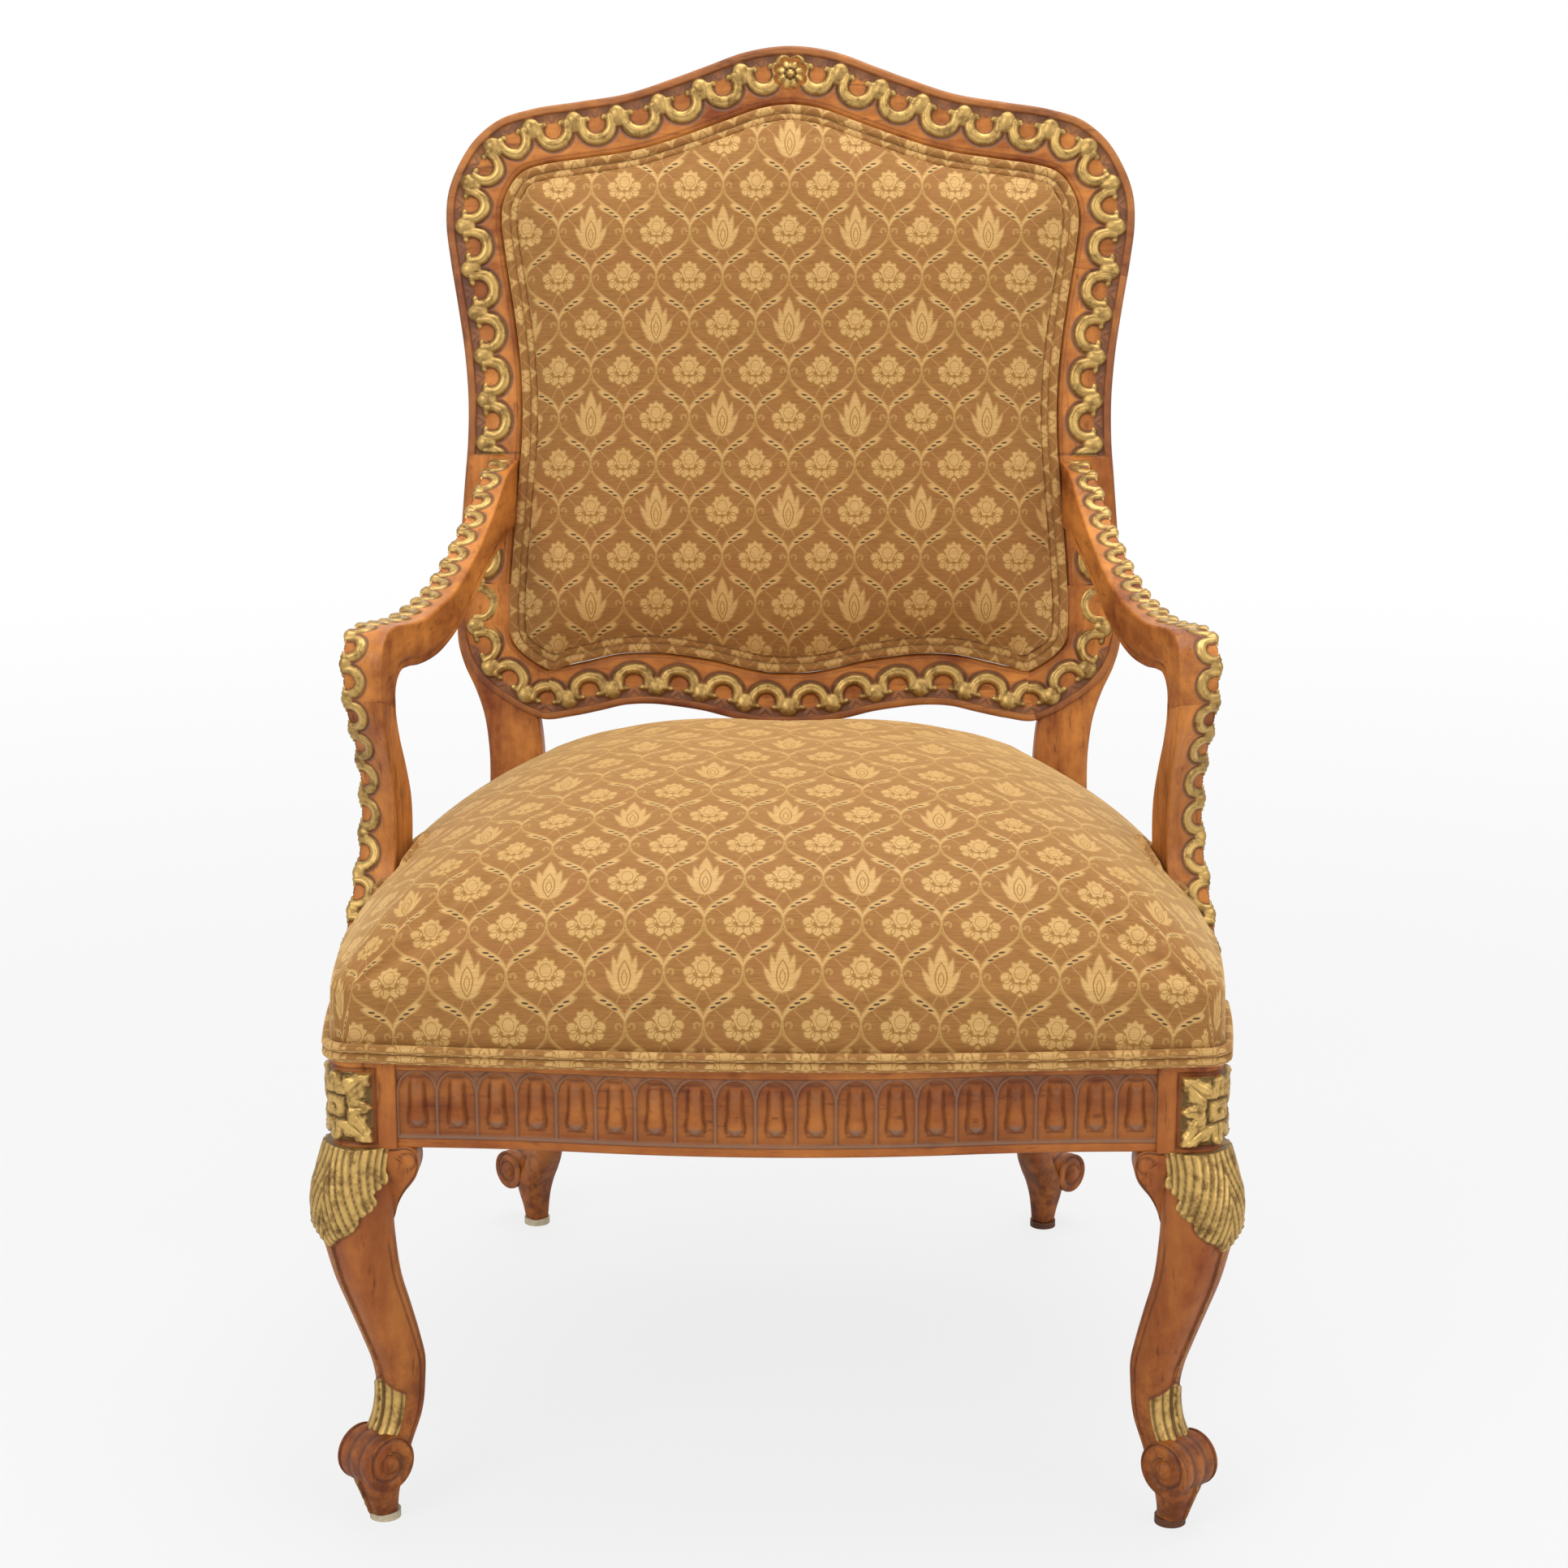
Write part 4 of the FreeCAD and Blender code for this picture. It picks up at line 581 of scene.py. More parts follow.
def scallopRelief(phase, q, size, lip=True):
    # Height over the front plane, gilding, dirt with painted shade, and wax at a distance along and a distance from
    # the edge
    pitch = size["pitch"]
    aside = np.abs((phase + pitch / 2) % pitch - pitch / 2)
    u = pitch / 2 - aside
    fall = np.maximum(q - size["cupFrom"], 0)
    reach = np.hypot(u, fall)
    upto = ease(size["knobFrom"] - 4.0, size["knobFrom"] + 1.0, q)
    depth = np.clip(fall / size["cupRadius"], 0, 1)
    cup = rounded((reach - size["cupRadius"]) / (size["cupHalf"] * (0.84 + 0.3 * depth))) * upto
    drop = np.where(q > size["knobFrom"], 1.5, 1.0)
    knob = rounded(np.hypot(aside, (q - size["knobFrom"]) / drop) / size["knobRadius"])
    tip = rounded(np.hypot(u - size["tipAside"], q - size["tipFrom"]) / size["tipRadius"])
    ringReach = np.abs(np.hypot(u, fall) - size["ringRadius"])
    ring = rounded(ringReach / size["ringHalf"]) * (q > size["cupFrom"] + 1)
    gilt = np.maximum(np.maximum(cup * size["cupHeight"], knob * size["knobHeight"]), tip * 2.9)
    crease = 0.5 * bell(reach - size["cupRadius"] - 1.2, 0.8) * upto
    gold = np.clip(np.maximum(np.maximum(cup, knob), tip) * 2.2 - 0.4, 0, 1)
    dartTop = size["lipWidth"] + 1.2
    dartLow = dartTop + 6.5
    dartHalf = 4.6 * (dartLow - q) / (dartLow - dartTop)
    dart = rounded((u - dartHalf) / 1.1) * (q > dartTop) * (q < dartLow)
    dart = dart * (u < 6)
    floor = size["floor"]
    outside = ease(size["ringRadius"] - 0.6, size["ringRadius"] + 1.2, np.hypot(u, fall)) * (q > size["cupFrom"])
    ground = floor + outside * (-0.6 - floor)
    height = ground + np.maximum(np.maximum(gilt, ring * size["ringHeight"] * (1 - outside)), dart * 1.2)
    height = height - crease * (gold > 0.5)
    # painted shade with dirt: a dark outline round the gilt cups, and the gilding darker down its sides along with
    # patina
    near = np.clip(1 - gold, 0, 1) * np.exp(-np.maximum(np.abs(reach - size["cupRadius"]) - size["cupHalf"], 0) / 1.5)
    cavity = np.clip(0.45 + 0.75 * near, 0, 1) * (1 - outside) + (0.08 + 0.5 * near) * outside
    cavity = np.where(gold > 0.5, 0.9 * np.clip(1.15 - gilt / size["cupHeight"], 0, 1) + crease * 0.6, cavity)
    cavity = np.where(knob > 0.05, np.maximum(cavity, 0.38), cavity)
    cavity = np.maximum(cavity, dart * 0.9)
    pocket = (reach < size["cupRadius"] - size["cupHalf"]) & (q > size["tipFrom"])
    cavity = np.where(pocket, 0.25 * cavity, cavity)
    waxAndHighlight = np.clip(ring * (1 - outside) * 0.9 + dart * 0.8, 0, 1) * (1 - gold)
    waxAndHighlight = np.maximum(waxAndHighlight, 0.4 * (q > size["lipWidth"]) * (q < size["cupFrom"]) * (1 - gold) * (1 - pocket))
    if lip:
        width = size["lipWidth"]
        onLip = 1 - ease(width - 0.7, width + 0.5, q)
        groove = bell(q - width, 0.55)
        height = height * (1 - onLip) + onLip * (0.2 - 0.9 * groove)
        gold = gold * (1 - onLip)
        cavity = np.maximum(cavity * (1 - onLip) + 0.42 * onLip, groove)
        waxAndHighlight = waxAndHighlight * (1 - onLip) + 0.16 * onLip
    return height, gold, cavity, waxAndHighlight


# Back frame, in the plane of its front face: across, up the back, towards the sitter

back = {
    "lean": math.radians(10.7), "baseY": 219.7, "baseZ": 515.0, "thickness": 28.0,
    "welt": 16.0, "panelEnd": 237.0, "panelStart": 150.0, "crestJoint": 395.0, "postInner": 221.0, "middle": 275.0,
    "flowerUp": 573.0,
}
outerHalf = [
    (0, 598), (40, 592.5), (75, 580), (105, 569), (145, 556), (190, 548.5), (231, 542), (259, 533),
    (279.5, 517), (295, 494), (305, 467), (306.5, 440), (303, 410), (296, 367), (290, 325), (287, 283),
    (287.5, 247), (290, 215), (293, 175), (296, 130), (297, 95), (294, 66), (284, 42), (269, 26),
    (252, 14), (236, 5), (220, -1), (195, 1.5), (168, 7), (146, 12), (122, 13), (98, 10.5), (76, 7),
    (52, 1), (25, -4), (0, -5),
]
bandWidths = [(0, 52), (0.16, 51), (0.31, 50), (0.45, 49), (0.6, 48), (0.72, 45), (0.8, 43), (0.9, 46), (1, 46)]


def onBack(across, up, forward):
    lean = back["lean"]
    y = back["baseY"] + up * math.sin(lean) - forward * math.cos(lean)
    z = back["baseZ"] + up * math.cos(lean) + forward * math.sin(lean)
    return np.stack([across, y, z], axis=-1)


def bandLine(distance, count=1100):
    # Half outline of the back, drawn in by a distance (a number or one per point)
    mirrored = [(-x, y) for x, y in outerHalf]
    line = through(mirrored[3:0:-1] + outerHalf + mirrored[-2:-5:-1], 3 * count)
    line = line[line[:, 0] >= 0]
    line[0, 0] = line[-1, 0] = 0
    line = evenly(line, count)
    inward = -normals2d(line)
    inward[0] = (0, -1)
    inward[-1] = (0, 1)
    return line, line + inward * np.asarray(distance).reshape(-1, 1)


def bandWidth(share):
    stations, widths = np.array(bandWidths).T
    return smoothRow(widths, stations, share)


halfCount = 1150
outerLine, knobLine = bandLine(scallop["knobFrom"], halfCount)
knobRun = lengthAlong(knobLine)
shareAlong = np.linspace(0, 1, halfCount)
widthAlong = bandWidth(shareAlong)
innerLine = bandLine(widthAlong, halfCount)[1]


def backSection():
    # Columns of the section: distance from the outer edge and depth under the face, front first
    face = np.linspace(0, 1, 56)
    sideDown = np.array([0.06, 0.2, 0.45, 0.7, 0.92, 1.0])
    return face, sideDown


def rosette(across, up):
    # Flower with eight petals at the top of the crest
    x, y = across, up - back["flowerUp"]
    r = np.hypot(x, y)
    turn = np.arctan2(y, x)
    petal = np.abs(np.sin(4 * turn + 0.2)) ** 0.5
    edge = 9.5 + 4.2 * petal
    leaf = np.clip(1 - (r / edge) ** 4, 0, 1) * (0.45 + 0.55 * petal)
    boss = rounded(r / 4.2)
    bossRim = bell(r - 4.6, 0.8)
    height = leaf * 4.6 - bossRim * 1.6 + boss * 3.2
    gold = np.clip((edge - r) / 1.2, 0, 1)
    cavity = np.clip(bossRim + (1 - petal) * gold * 0.8, 0, 1)
    return height, gold, cavity, np.clip((edge + 2.5 - r) / 1.5, 0, 1)


def backFrameGrid():
    # Points and marks of the right half of the back frame, from the crest round to the lower rail
    face, sideDown = backSection()
    q = face[None, :] * widthAlong[:, None]
    span = innerLine - outerLine
    plane = outerLine[:, None, :] + span[:, None, :] * face[None, :, None]
    across, up = plane[..., 0], plane[..., 1]
    fromTop = knobRun[:, None] - 45.0
    fromBottom = knobRun[-1] - knobRun[:, None]
    lower = up[:, 27:28] < back["panelStart"] + 20
    pitchShare = np.where(lower, 40.0 / 38.8, 1.0)
    phase = np.where(lower, fromBottom / pitchShare, fromTop)
    scaledQ = q * (51.5 / widthAlong)[:, None]
    height, gold, cavity, waxAndHighlight = scallopRelief(phase, scaledQ, scallop)
    flower, flowerGold, flowerCavity, cover = rosette(across, up)
    height = height * (1 - cover) + (scallop["floor"] + flower) * cover
    gold = gold * (1 - cover) + flowerGold * cover
    cavity = np.maximum(cavity * (1 - cover), flowerCavity * cover)
    waxAndHighlight = waxAndHighlight * (1 - cover)

    # plain wood beside the arm
    side = across > 200
    plain = ease(back["panelStart"], back["panelStart"] + 3, up)
    plain = plain * (1 - ease(back["panelEnd"] - 3, back["panelEnd"], up)) * side * (scaledQ > 2)
    rim = bell(up - back["panelEnd"], 1.2) * side * (scaledQ > scallop["lipWidth"])
    height = height * (1 - plain) + plain * -0.4
    gold = gold * (1 - plain)
    waxAndHighlight = waxAndHighlight * (1 - plain)
    cavity = np.clip(cavity * (1 - plain) + rim * 0.8, 0, 1)

    # rounded outer and inner arrises
    edge = np.clip(1 - scaledQ / 3.5, 0, 1)
    height = height - 3.0 * (1 - np.sqrt(1 - edge ** 2))
    inner = np.clip((scaledQ - 45.5) / 6.0, 0, 1)
    height = height - 2.4 * inner ** 2
    bead = bell(scaledQ - 46.8, 0.7)
    height = height - 0.5 * bead
    cavity = np.clip(cavity + bead * 0.5, 0, 1)
    height += 0.15 * hashNoise(across / 7, up / 7, 3)

    front = onBack(across, up, height)
    depth = back["thickness"]
    blank = np.zeros((halfCount, len(sideDown)))
    rightSide = onBack(
        np.repeat(outerLine[:, :1], len(sideDown), axis=1), np.repeat(outerLine[:, 1:], len(sideDown), axis=1),
        -3.0 - sideDown[None, :] * (depth - 3.0) + blank,
    )
    leftSide = onBack(
        np.repeat(innerLine[:, :1], len(sideDown), axis=1), np.repeat(innerLine[:, 1:], len(sideDown), axis=1),
        -3.2 - sideDown[None, :] * (depth - 3.2) + blank,
    )
    rear = plane[:, [44, 33, 22, 11]]
    rearFace = onBack(rear[..., 0], rear[..., 1], np.full(rear.shape[:2], -depth))
    points = np.concatenate([front, leftSide, rearFace, rightSide[:, ::-1]], axis=1)
    rest = points.shape[1] - front.shape[1]
    blank = np.zeros((halfCount, rest))
    gold, waxAndHighlight = (np.concatenate([mark, blank], axis=1) for mark in (gold, waxAndHighlight))
    cavity = np.concatenate([cavity, blank + 0.15], axis=1)
    return points, gold, cavity, waxAndHighlight


# Rear legs with their rolled feet

rearLeg = {
    "columns": 72, "rollRadius": 18.5, "rollHalf": 18.5, "rollPlace": (257.5, 324.5, 52.0), "bossRadius": 7.5,
    "postFront": 198.0,
}
# height, middle across, middle to the back, width
rearLegLine = [
    (400, 244.5, 223, 49), (376, 244.5, 223, 48), (340, 244.5, 223, 47), (308, 244.5, 224, 44), (270, 246, 229, 41.5),
    (228, 245.5, 240, 40), (180, 242, 256, 37), (140, 237, 272, 33.5), (100, 232.5, 284, 30.5), (80, 232, 290, 30),
    (60, 237.5, 300, 31), (46, 243.5, 307, 33), (34, 244.5, 309, 29), (16, 243.5, 310, 22.5), (6, 243, 310, 20),
]


def roundedSquare(columns, power):
    # Unit outline between a square and a circle, with its outward directions
    turn = np.linspace(0, 2 * math.pi, columns, endpoint=False)
    c, s = np.cos(turn), np.sin(turn)
    reach = (np.abs(c) ** power + np.abs(s) ** power) ** (-1 / power)
    normal = np.stack([np.sign(c) * np.abs(c) ** (power - 1), np.sign(s) * np.abs(s) ** (power - 1)], axis=1)
    return turn, np.stack([c * reach, s * reach], axis=1), unit(normal)


def rollSkin(place, radius, half, turn, boss, ridges=3):
    # Rolled foot: a drum with ridges along its roll and a spiral on both end faces
    columns = 96
    around = np.linspace(0, 2 * math.pi, columns, endpoint=False)
    share = np.array([
        0, 0.08, 0.16, 0.24, 0.3, 0.36, 0.42, 0.48, 0.54, 0.6, 0.66, 0.72, 0.78, 0.84, 0.9, 0.95, 0.98, 1.0,
    ])
    faceRadius = radius * share
    swirl = np.mod(around[None, :] / (2 * math.pi) + 1.9 * (1 - faceRadius[:, None] / radius), 1)
    groove = bell(swirl - 0.5, 0.11) * (faceRadius[:, None] > boss) * (share < 0.97)[:, None]
    rise = 3.2 * np.sqrt(np.clip(1 - (faceRadius / boss) ** 2, 0, 1))[:, None] - 2.3 * groove
    rise = rise - 1.4 * bell(faceRadius - boss - 0.6, 0.9)[:, None]
    rise[-1] = -1.6
    along = np.linspace(-1, 1, 30)[1:-1]
    wave = np.abs(np.cos(along * math.pi * ridges / 2))
    drumRadius = radius - 1.5 * (1 - wave) - 1.2 * along ** 6

    def ring(reach, offset):
        reach = np.broadcast_to(reach, (columns,))
        out = np.stack([np.cos(around) * reach, np.sin(around) * reach], axis=1)
        return out, np.broadcast_to(offset, (columns,))

    rows, dirtAndShade = [], []
    for k in range(1, len(share)):
        rows.append(ring(faceRadius[k], -half - rise[k]))
        dirtAndShade.append(groove[k])
    for k, reach in enumerate(drumRadius):
        rows.append(ring(reach, half * along[k]))
        dirtAndShade.append(np.full(columns, 1 - wave[k]))
    for k in range(len(share) - 1, 0, -1):
        rows.append(ring(faceRadius[k], half + rise[k]))
        dirtAndShade.append(groove[k])
    outward = np.array([math.cos(turn), math.sin(turn), 0])
    axis = np.array([-math.sin(turn), math.cos(turn), 0])
    points = []
    for plane, offset in rows:
        points.append(
            np.array(place) + outward * plane[:, :1] + np.array([0, 0, 1]) * plane[:, 1:] + axis * offset[:, None]
        )
    points = np.array(points)
    dirtAndShade = np.array(dirtAndShade)
    return skin(points, 0.0, dirtAndShade * 0.9, 0.45 * bell(dirtAndShade - 0.45, 0.22))


def rearPostSkins():
    # Rear leg in one with the post, as far down as its foot
    line = through(rearLegLine, 330)
    outline = roundedSquare(rearLeg["columns"], 3.4)[1]
    half = line[:, 3:] / 2
    straight = ease(300, 330, line[:, 0])[:, None]
    diagonal = math.pi / 4
    wave = (1 - straight) * diagonal
    x = half * (outline[None, :, 0] * np.cos(wave) - outline[None, :, 1] * np.sin(wave)) * (1 - 0.07 * (1 - straight))
    y = half * (outline[None, :, 0] * np.sin(wave) + outline[None, :, 1] * np.cos(wave)) * (1 - 0.07 * (1 - straight))
    points = np.stack([line[:, 1:2] + x, line[:, 2:3] + y, line[:, :1] + 0 * x], axis=-1)
    cavity = 0.12 + 0.5 * bell(line[:, 0] - 303, 2.5)[:, None] + 0 * x
    leg = skin(points, 0.0, cavity)

    # straight foot of the stile, between the seat rails and the carved part of the back
    bar = [
        (120, 240, 296, 0), (90, 242, 297, 0), (65, 243, 296, -3), (48, 240, 291, -3.4), (26, 232, 281, -3.4),
        (4, 225, 273.5, -3.4), (-25, 221, 269, -3.4), (-70, 221, 268, -3.4), (-117, 221, 268, -2),
    ]
    rows = through(bar, 150)
    face = np.linspace(0, 1, 20)
    x = rows[:, 1:2] + (rows[:, 2:3] - rows[:, 1:2]) * face
    up = np.broadcast_to(rows[:, :1], x.shape)
    edge = np.minimum(face, 1 - face)[None, :] * (rows[:, 2:3] - rows[:, 1:2])
    drop = 2.2 * (1 - np.sqrt(np.clip(1 - np.clip(1 - edge / 3.0, 0, 1) ** 2, 0, 1)))
    front = onBack(x, up, rows[:, 3:4] - drop)
    deep = back["thickness"] + 4
    sides = []
    for column in (-1, 0):
        depths = np.linspace(-6, -deep + 2, 7)
        if column == 0:
            depths = depths[::-1]
        sides.append(onBack(x[:, column][:, None] + 0 * depths, up[:, :1] + 0 * depths, depths + 0 * up[:, :1]))
    rear = onBack(x[:, ::-4], up[:, ::-4], np.full(x[:, ::-4].shape, -deep))
    points = np.concatenate([front, sides[0], rear, sides[1]], axis=1)
    bar = skin(points, 0.0, 0.12, flip=True)
    roll = rollSkin(
        rearLeg["rollPlace"], rearLeg["rollRadius"], rearLeg["rollHalf"], math.pi / 4, rearLeg["bossRadius"],
    )
    return leg, bar, roll


def backFrame():
    # The ring in its real pieces: crest rail, the upper parts of both posts and the lower rail
    points, *marks = backFrameGrid()
    up = outerLine[:, 1]
    crestEnd = int(np.argmax(up < back["crestJoint"])) + 1
    lowerStart = int(len(up) - np.argmax((outerLine[:, 0] > back["postInner"])[::-1])) - 1

    def acrossBoth(start, end, name):
        # Mirror image first, so that the strip runs from side to side
        part = points[start:end]
        twin = part * (-1, 1, 1)
        turn = slice(None, None, -1)
        if start == 0:
            whole = np.concatenate([twin[turn], part[1:]])
            shown = [np.concatenate([m[start:end][turn], m[start:end][1:]]) for m in marks]
        else:
            whole = np.concatenate([part, twin[turn][1:]])
            shown = [np.concatenate([m[start:end], m[start:end][turn][1:]]) for m in marks]
        return merged(name, skin(whole, *shown))

    addPiece("crestRail", acrossBoth(0, crestEnd, "crestRail"), crosswise, "carved_wood", "crest_rail")
    addPiece("lowerRail", acrossBoth(lowerStart, len(up), "lowerRail"), crosswise, "carved_wood", "lower_back_rail")
    stile = slice(crestEnd - 1, lowerStart + 1)
    mesh = merged("rearPost", skin(points[stile], *(m[stile] for m in marks)), *rearPostSkins())
    bothSides("rearPost", mesh, upright, "carved_wood", ["rear_post"])


backFrame()
print("back frame made", flush=True)


# Arms and their supports: one continuous bar in a vertical plane, cut where the arm rests on its support

arm = {
    "rear": (241.6, 263.0), "front": (301.8, -167.0), "rearWidth": 24.0, "frontWidth": 34.0,
    "joint": 612.0, "scale": 0.76, "pitch": 29.2, "firstKnob": 14.0, "arris": 2.6,
}
# along and height of the upper line, along and height of the lower line, backward slant of the front face
armLine = [
    (-5, 742, 8, 684, 0), (10, 741, 18, 683, 0), (36, 736, 36, 681, 0), (70, 719, 66, 673.5, 0),
    (102, 703, 98, 665.5, 0), (140, 687, 134, 655, 0), (177, 674, 172, 640.5, 0), (225, 662, 222, 626.5, 0),
    (287, 656.5, 287, 618, 0), (335, 656, 338, 620, 0), (380, 661, 372, 624.5, 0), (412, 664, 394, 625, 0),
    (431, 662, 404, 621, 0), (444, 653, 409, 616, 1), (450, 638, 411, 611, 3), (451, 620, 411, 604, 5),
    (450, 602, 410, 594, 10), (442, 578, 402, 574, 17), (431, 552, 387, 549, 19), (427, 520, 374, 520, 18),
    (427, 486, 374, 486, 8), (438, 460, 383, 460, 0), (456, 432, 396, 432, -4), (475, 404, 412, 404, -5),
    (487, 377, 424, 377, -5),
]


def armPlane():
    # Rear end of the arm in plan, its length, the direction that it runs in and the one to its outer side
    start = np.array(arm["rear"])
    run = np.array(arm["front"]) - start
    length = np.linalg.norm(run)
    ahead = run / length
    return start, length, ahead, np.array([-ahead[1], ahead[0]])


def barSection(corner, inner, top, outer, under):
    # Places round a bar: (offset, share of width, offset, share of depth), with outward directions
    quarter = np.linspace(0, math.pi / 2, 5)[1:-1]
    rows = []

    def add(c0, c1, d0, d1, nc, nd):
        rows.append((c0, c1, d0, d1, nc, nd))

    for share in np.linspace(1, 0, inner):
        add(0, 0, corner * (1 - 2 * share), share, -1, 0)
    for a in quarter:
        add(corner * (1 - math.cos(a)), 0, corner * (1 - math.sin(a)), 0, -math.cos(a), -math.sin(a))
    for share in np.linspace(0, 1, top):
        add(corner * (1 - 2 * share), share, 0, 0, 0, -1)
    for a in quarter:
        add(-corner * (1 - math.sin(a)), 1, corner * (1 - math.cos(a)), 0, math.sin(a), -math.cos(a))
    for share in np.concatenate([np.linspace(0, 0.3, outer // 2, endpoint=False), np.linspace(0.3, 1, outer // 2)]):
        add(0, 1, corner * (1 - 2 * share), share, 1, 0)
    for a in quarter:
        add(-corner * (1 - math.cos(a)), 1, -corner * (1 - math.sin(a)), 1, math.cos(a), math.sin(a))
    for share in np.linspace(1, 0, under):
        add(corner * (1 - 2 * share), share, 0, 1, 0, 1)
    for a in quarter:
        add(corner * (1 - math.sin(a)), 0, -corner * (1 - math.cos(a)), 1, -math.sin(a), math.cos(a))
    return np.array(rows).T


def armGrid():
    line = through(armLine, 820)
    upper, lower, slant = line[:, :2], line[:, 2:4], line[:, 4:5]
    run = lengthAlong(upper)
    start, length, ahead, aside = armPlane()
    wide = arm["rearWidth"] + (arm["frontWidth"] - arm["rearWidth"]) * np.clip(upper[:, :1] / length, 0, 1)
    deep = np.linalg.norm(lower - upper, axis=1)[:, None]
    c0, c1, d0, d1, nc, nd = barSection(arm["arris"], 16, 40, 22, 10)
    c = c0 + c1 * wide
    d = d0 + d1 * deep
    share = d / deep
    leanBack = slant * c / wide * (1 - 0.6 * share)
    along = upper[:, :1] + (lower[:, :1] - upper[:, :1]) * share - leanBack
    height = upper[:, 1:] + (lower[:, 1:] - upper[:, 1:]) * share

    # ornament on the upper face, wrapping over the outer arris
    q = np.where(nd < -0.5, wide - c, -d)
    q = np.where(nc < -0.5, wide + d, q)
    q = np.where(nd > 0.5, -deep - 20, q)
    turned = 15.5 + q / arm["scale"]
    phase = (run[:, None] - arm["firstKnob"]) * (scallop["pitch"] / arm["pitch"])
    relief, gold, cavity, waxAndHighlight = scallopRelief(phase + 0 * q, turned, scallop, lip=False)
    relief = relief * arm["scale"]
    keep = ease(3.5, 8.5, turned) * (1 - ease(44.5, 46.5, turned))
    relief = relief * keep - 0.5 * (1 - keep)
    gold, waxAndHighlight = gold * keep, waxAndHighlight * keep
    cavity = cavity * keep + 0.12 * (1 - keep)

    # beads along the inner face
    onInner = nc < -0.5
    support = ease(600, 585, height)
    first = bell(d - 8.5, 0.8) * support
    second = bell(d - 13.5, 0.8) * support
    third = bell(deep - d - 7.5, 0.8) * (1 - support)
    lines = (first + second + third) * onInner
    relief = relief - 1.0 * lines
    cavity = np.clip(cavity + 0.9 * lines, 0, 1)

    facing = normals2d(upper)
    slopeLow = np.gradient(lower, axis=0)
    slopeLow /= np.maximum(np.linalg.norm(slopeLow, axis=1)[:, None], 1e-6)
    facingLow = np.stack([slopeLow[:, 1], -slopeLow[:, 0]], axis=1)
    normal = np.where((nd < 0)[None, :, None], facing[:, None, :], facingLow[:, None, :]) * np.abs(nd)[None, :, None]
    along = along + normal[..., 0] * relief
    height = height + normal[..., 1] * relief
    c = c + nc * relief
    x = start[0] + ahead[0] * along + aside[0] * c
    y = start[1] + ahead[1] * along + aside[1] * c
    return np.stack([x, y, height], axis=-1), (gold, cavity, waxAndHighlight), upper


def arms():
    points, marks, upper = armGrid()
    cut = int(np.argmax((upper[:, 1] < arm["joint"]) & (upper[:, 0] > 400)))
    for name, node, reach, material in (
        ("arm", "arm", slice(0, cut + 1), lengthwise), ("armSupport", "arm_support", slice(cut, len(upper)), upright),
    ):
        mesh = merged(name, skin(points[reach], *(mark[reach] for mark in marks), flip=True))
        bothSides(name, mesh, material, "carved_wood", [node])


arms()
print("arms made", flush=True)


# Front legs: cabriole legs on the diagonal of the seat's corner, with the corner block on top

frontLeg = {
    "columns": 132, "power": 2.6, "shrink": 1 / 2.166,
    "rollPlace": (306.5, -317.5, 51.5), "rollRadius": 22.0, "rollHalf": 19.5, "bossRadius": 7.0,
}
# height, middle across, width seen from the front
frontLegLine = [
    (309, 307.5, 52), (300, 309.5, 53.5), (288, 312, 55.5), (275, 314.3, 57.5), (262, 315, 58), (245, 314.4, 56.5),
    (231, 312.5, 54), (202, 308, 50), (172, 300.5, 47), (146, 294, 44), (125, 289.5, 41), (110, 288.5, 38),
    (82, 291, 37), (62, 298.5, 39), (47, 304, 41), (35, 305.5, 38), (24, 305, 31.5), (14, 304, 26.5), (6, 303, 23.5),
]


def acanthus(aside, below):
    # Leaf on the knee: across from its midrib, down from the rail
    half = np.interp(below, [0, 25, 40, 55, 66, 74, 80], [60, 50, 44, 32, 20, 9, 1])
    lobes = 1 + 0.16 * np.abs(np.sin(below / 80 * math.pi * 4.5)) - 0.09
    half = half * lobes
    n = np.abs(aside) / np.maximum(half, 0.5)
    strand = (np.abs(aside) - 0.035 * below ** 1.5 + 0.8 * np.sin(below / 9)) / 5.8
    ridge = np.abs(np.sin(strand * math.pi))
    edge = np.clip((1 - n) * half / 3.0, 0, 1)
    body = np.sqrt(edge) * 2.4
    height = body + (ridge ** 0.75) * 2.3 * np.sqrt(edge)
    curl = bell(n - 0.93, 0.06) * (below > 22)
    height = height + curl * 2.2 * np.abs(np.sin(below / 80 * math.pi * 4.5))
    inside = np.clip((1 - n) * half / 1.0, 0, 1)
    # painted shadow of the undercut round the outside of the leaf; darker between the strands with dirt and painted
    # shade
    rim = bell(np.maximum(n - 1, 0) * half, 2.0) * (n >= 1)
    cavity = np.clip((1 - ridge) ** 1.6, 0, 1) * 0.95 * inside + rim * 0.9 * (1 - inside)
    return height, inside, cavity


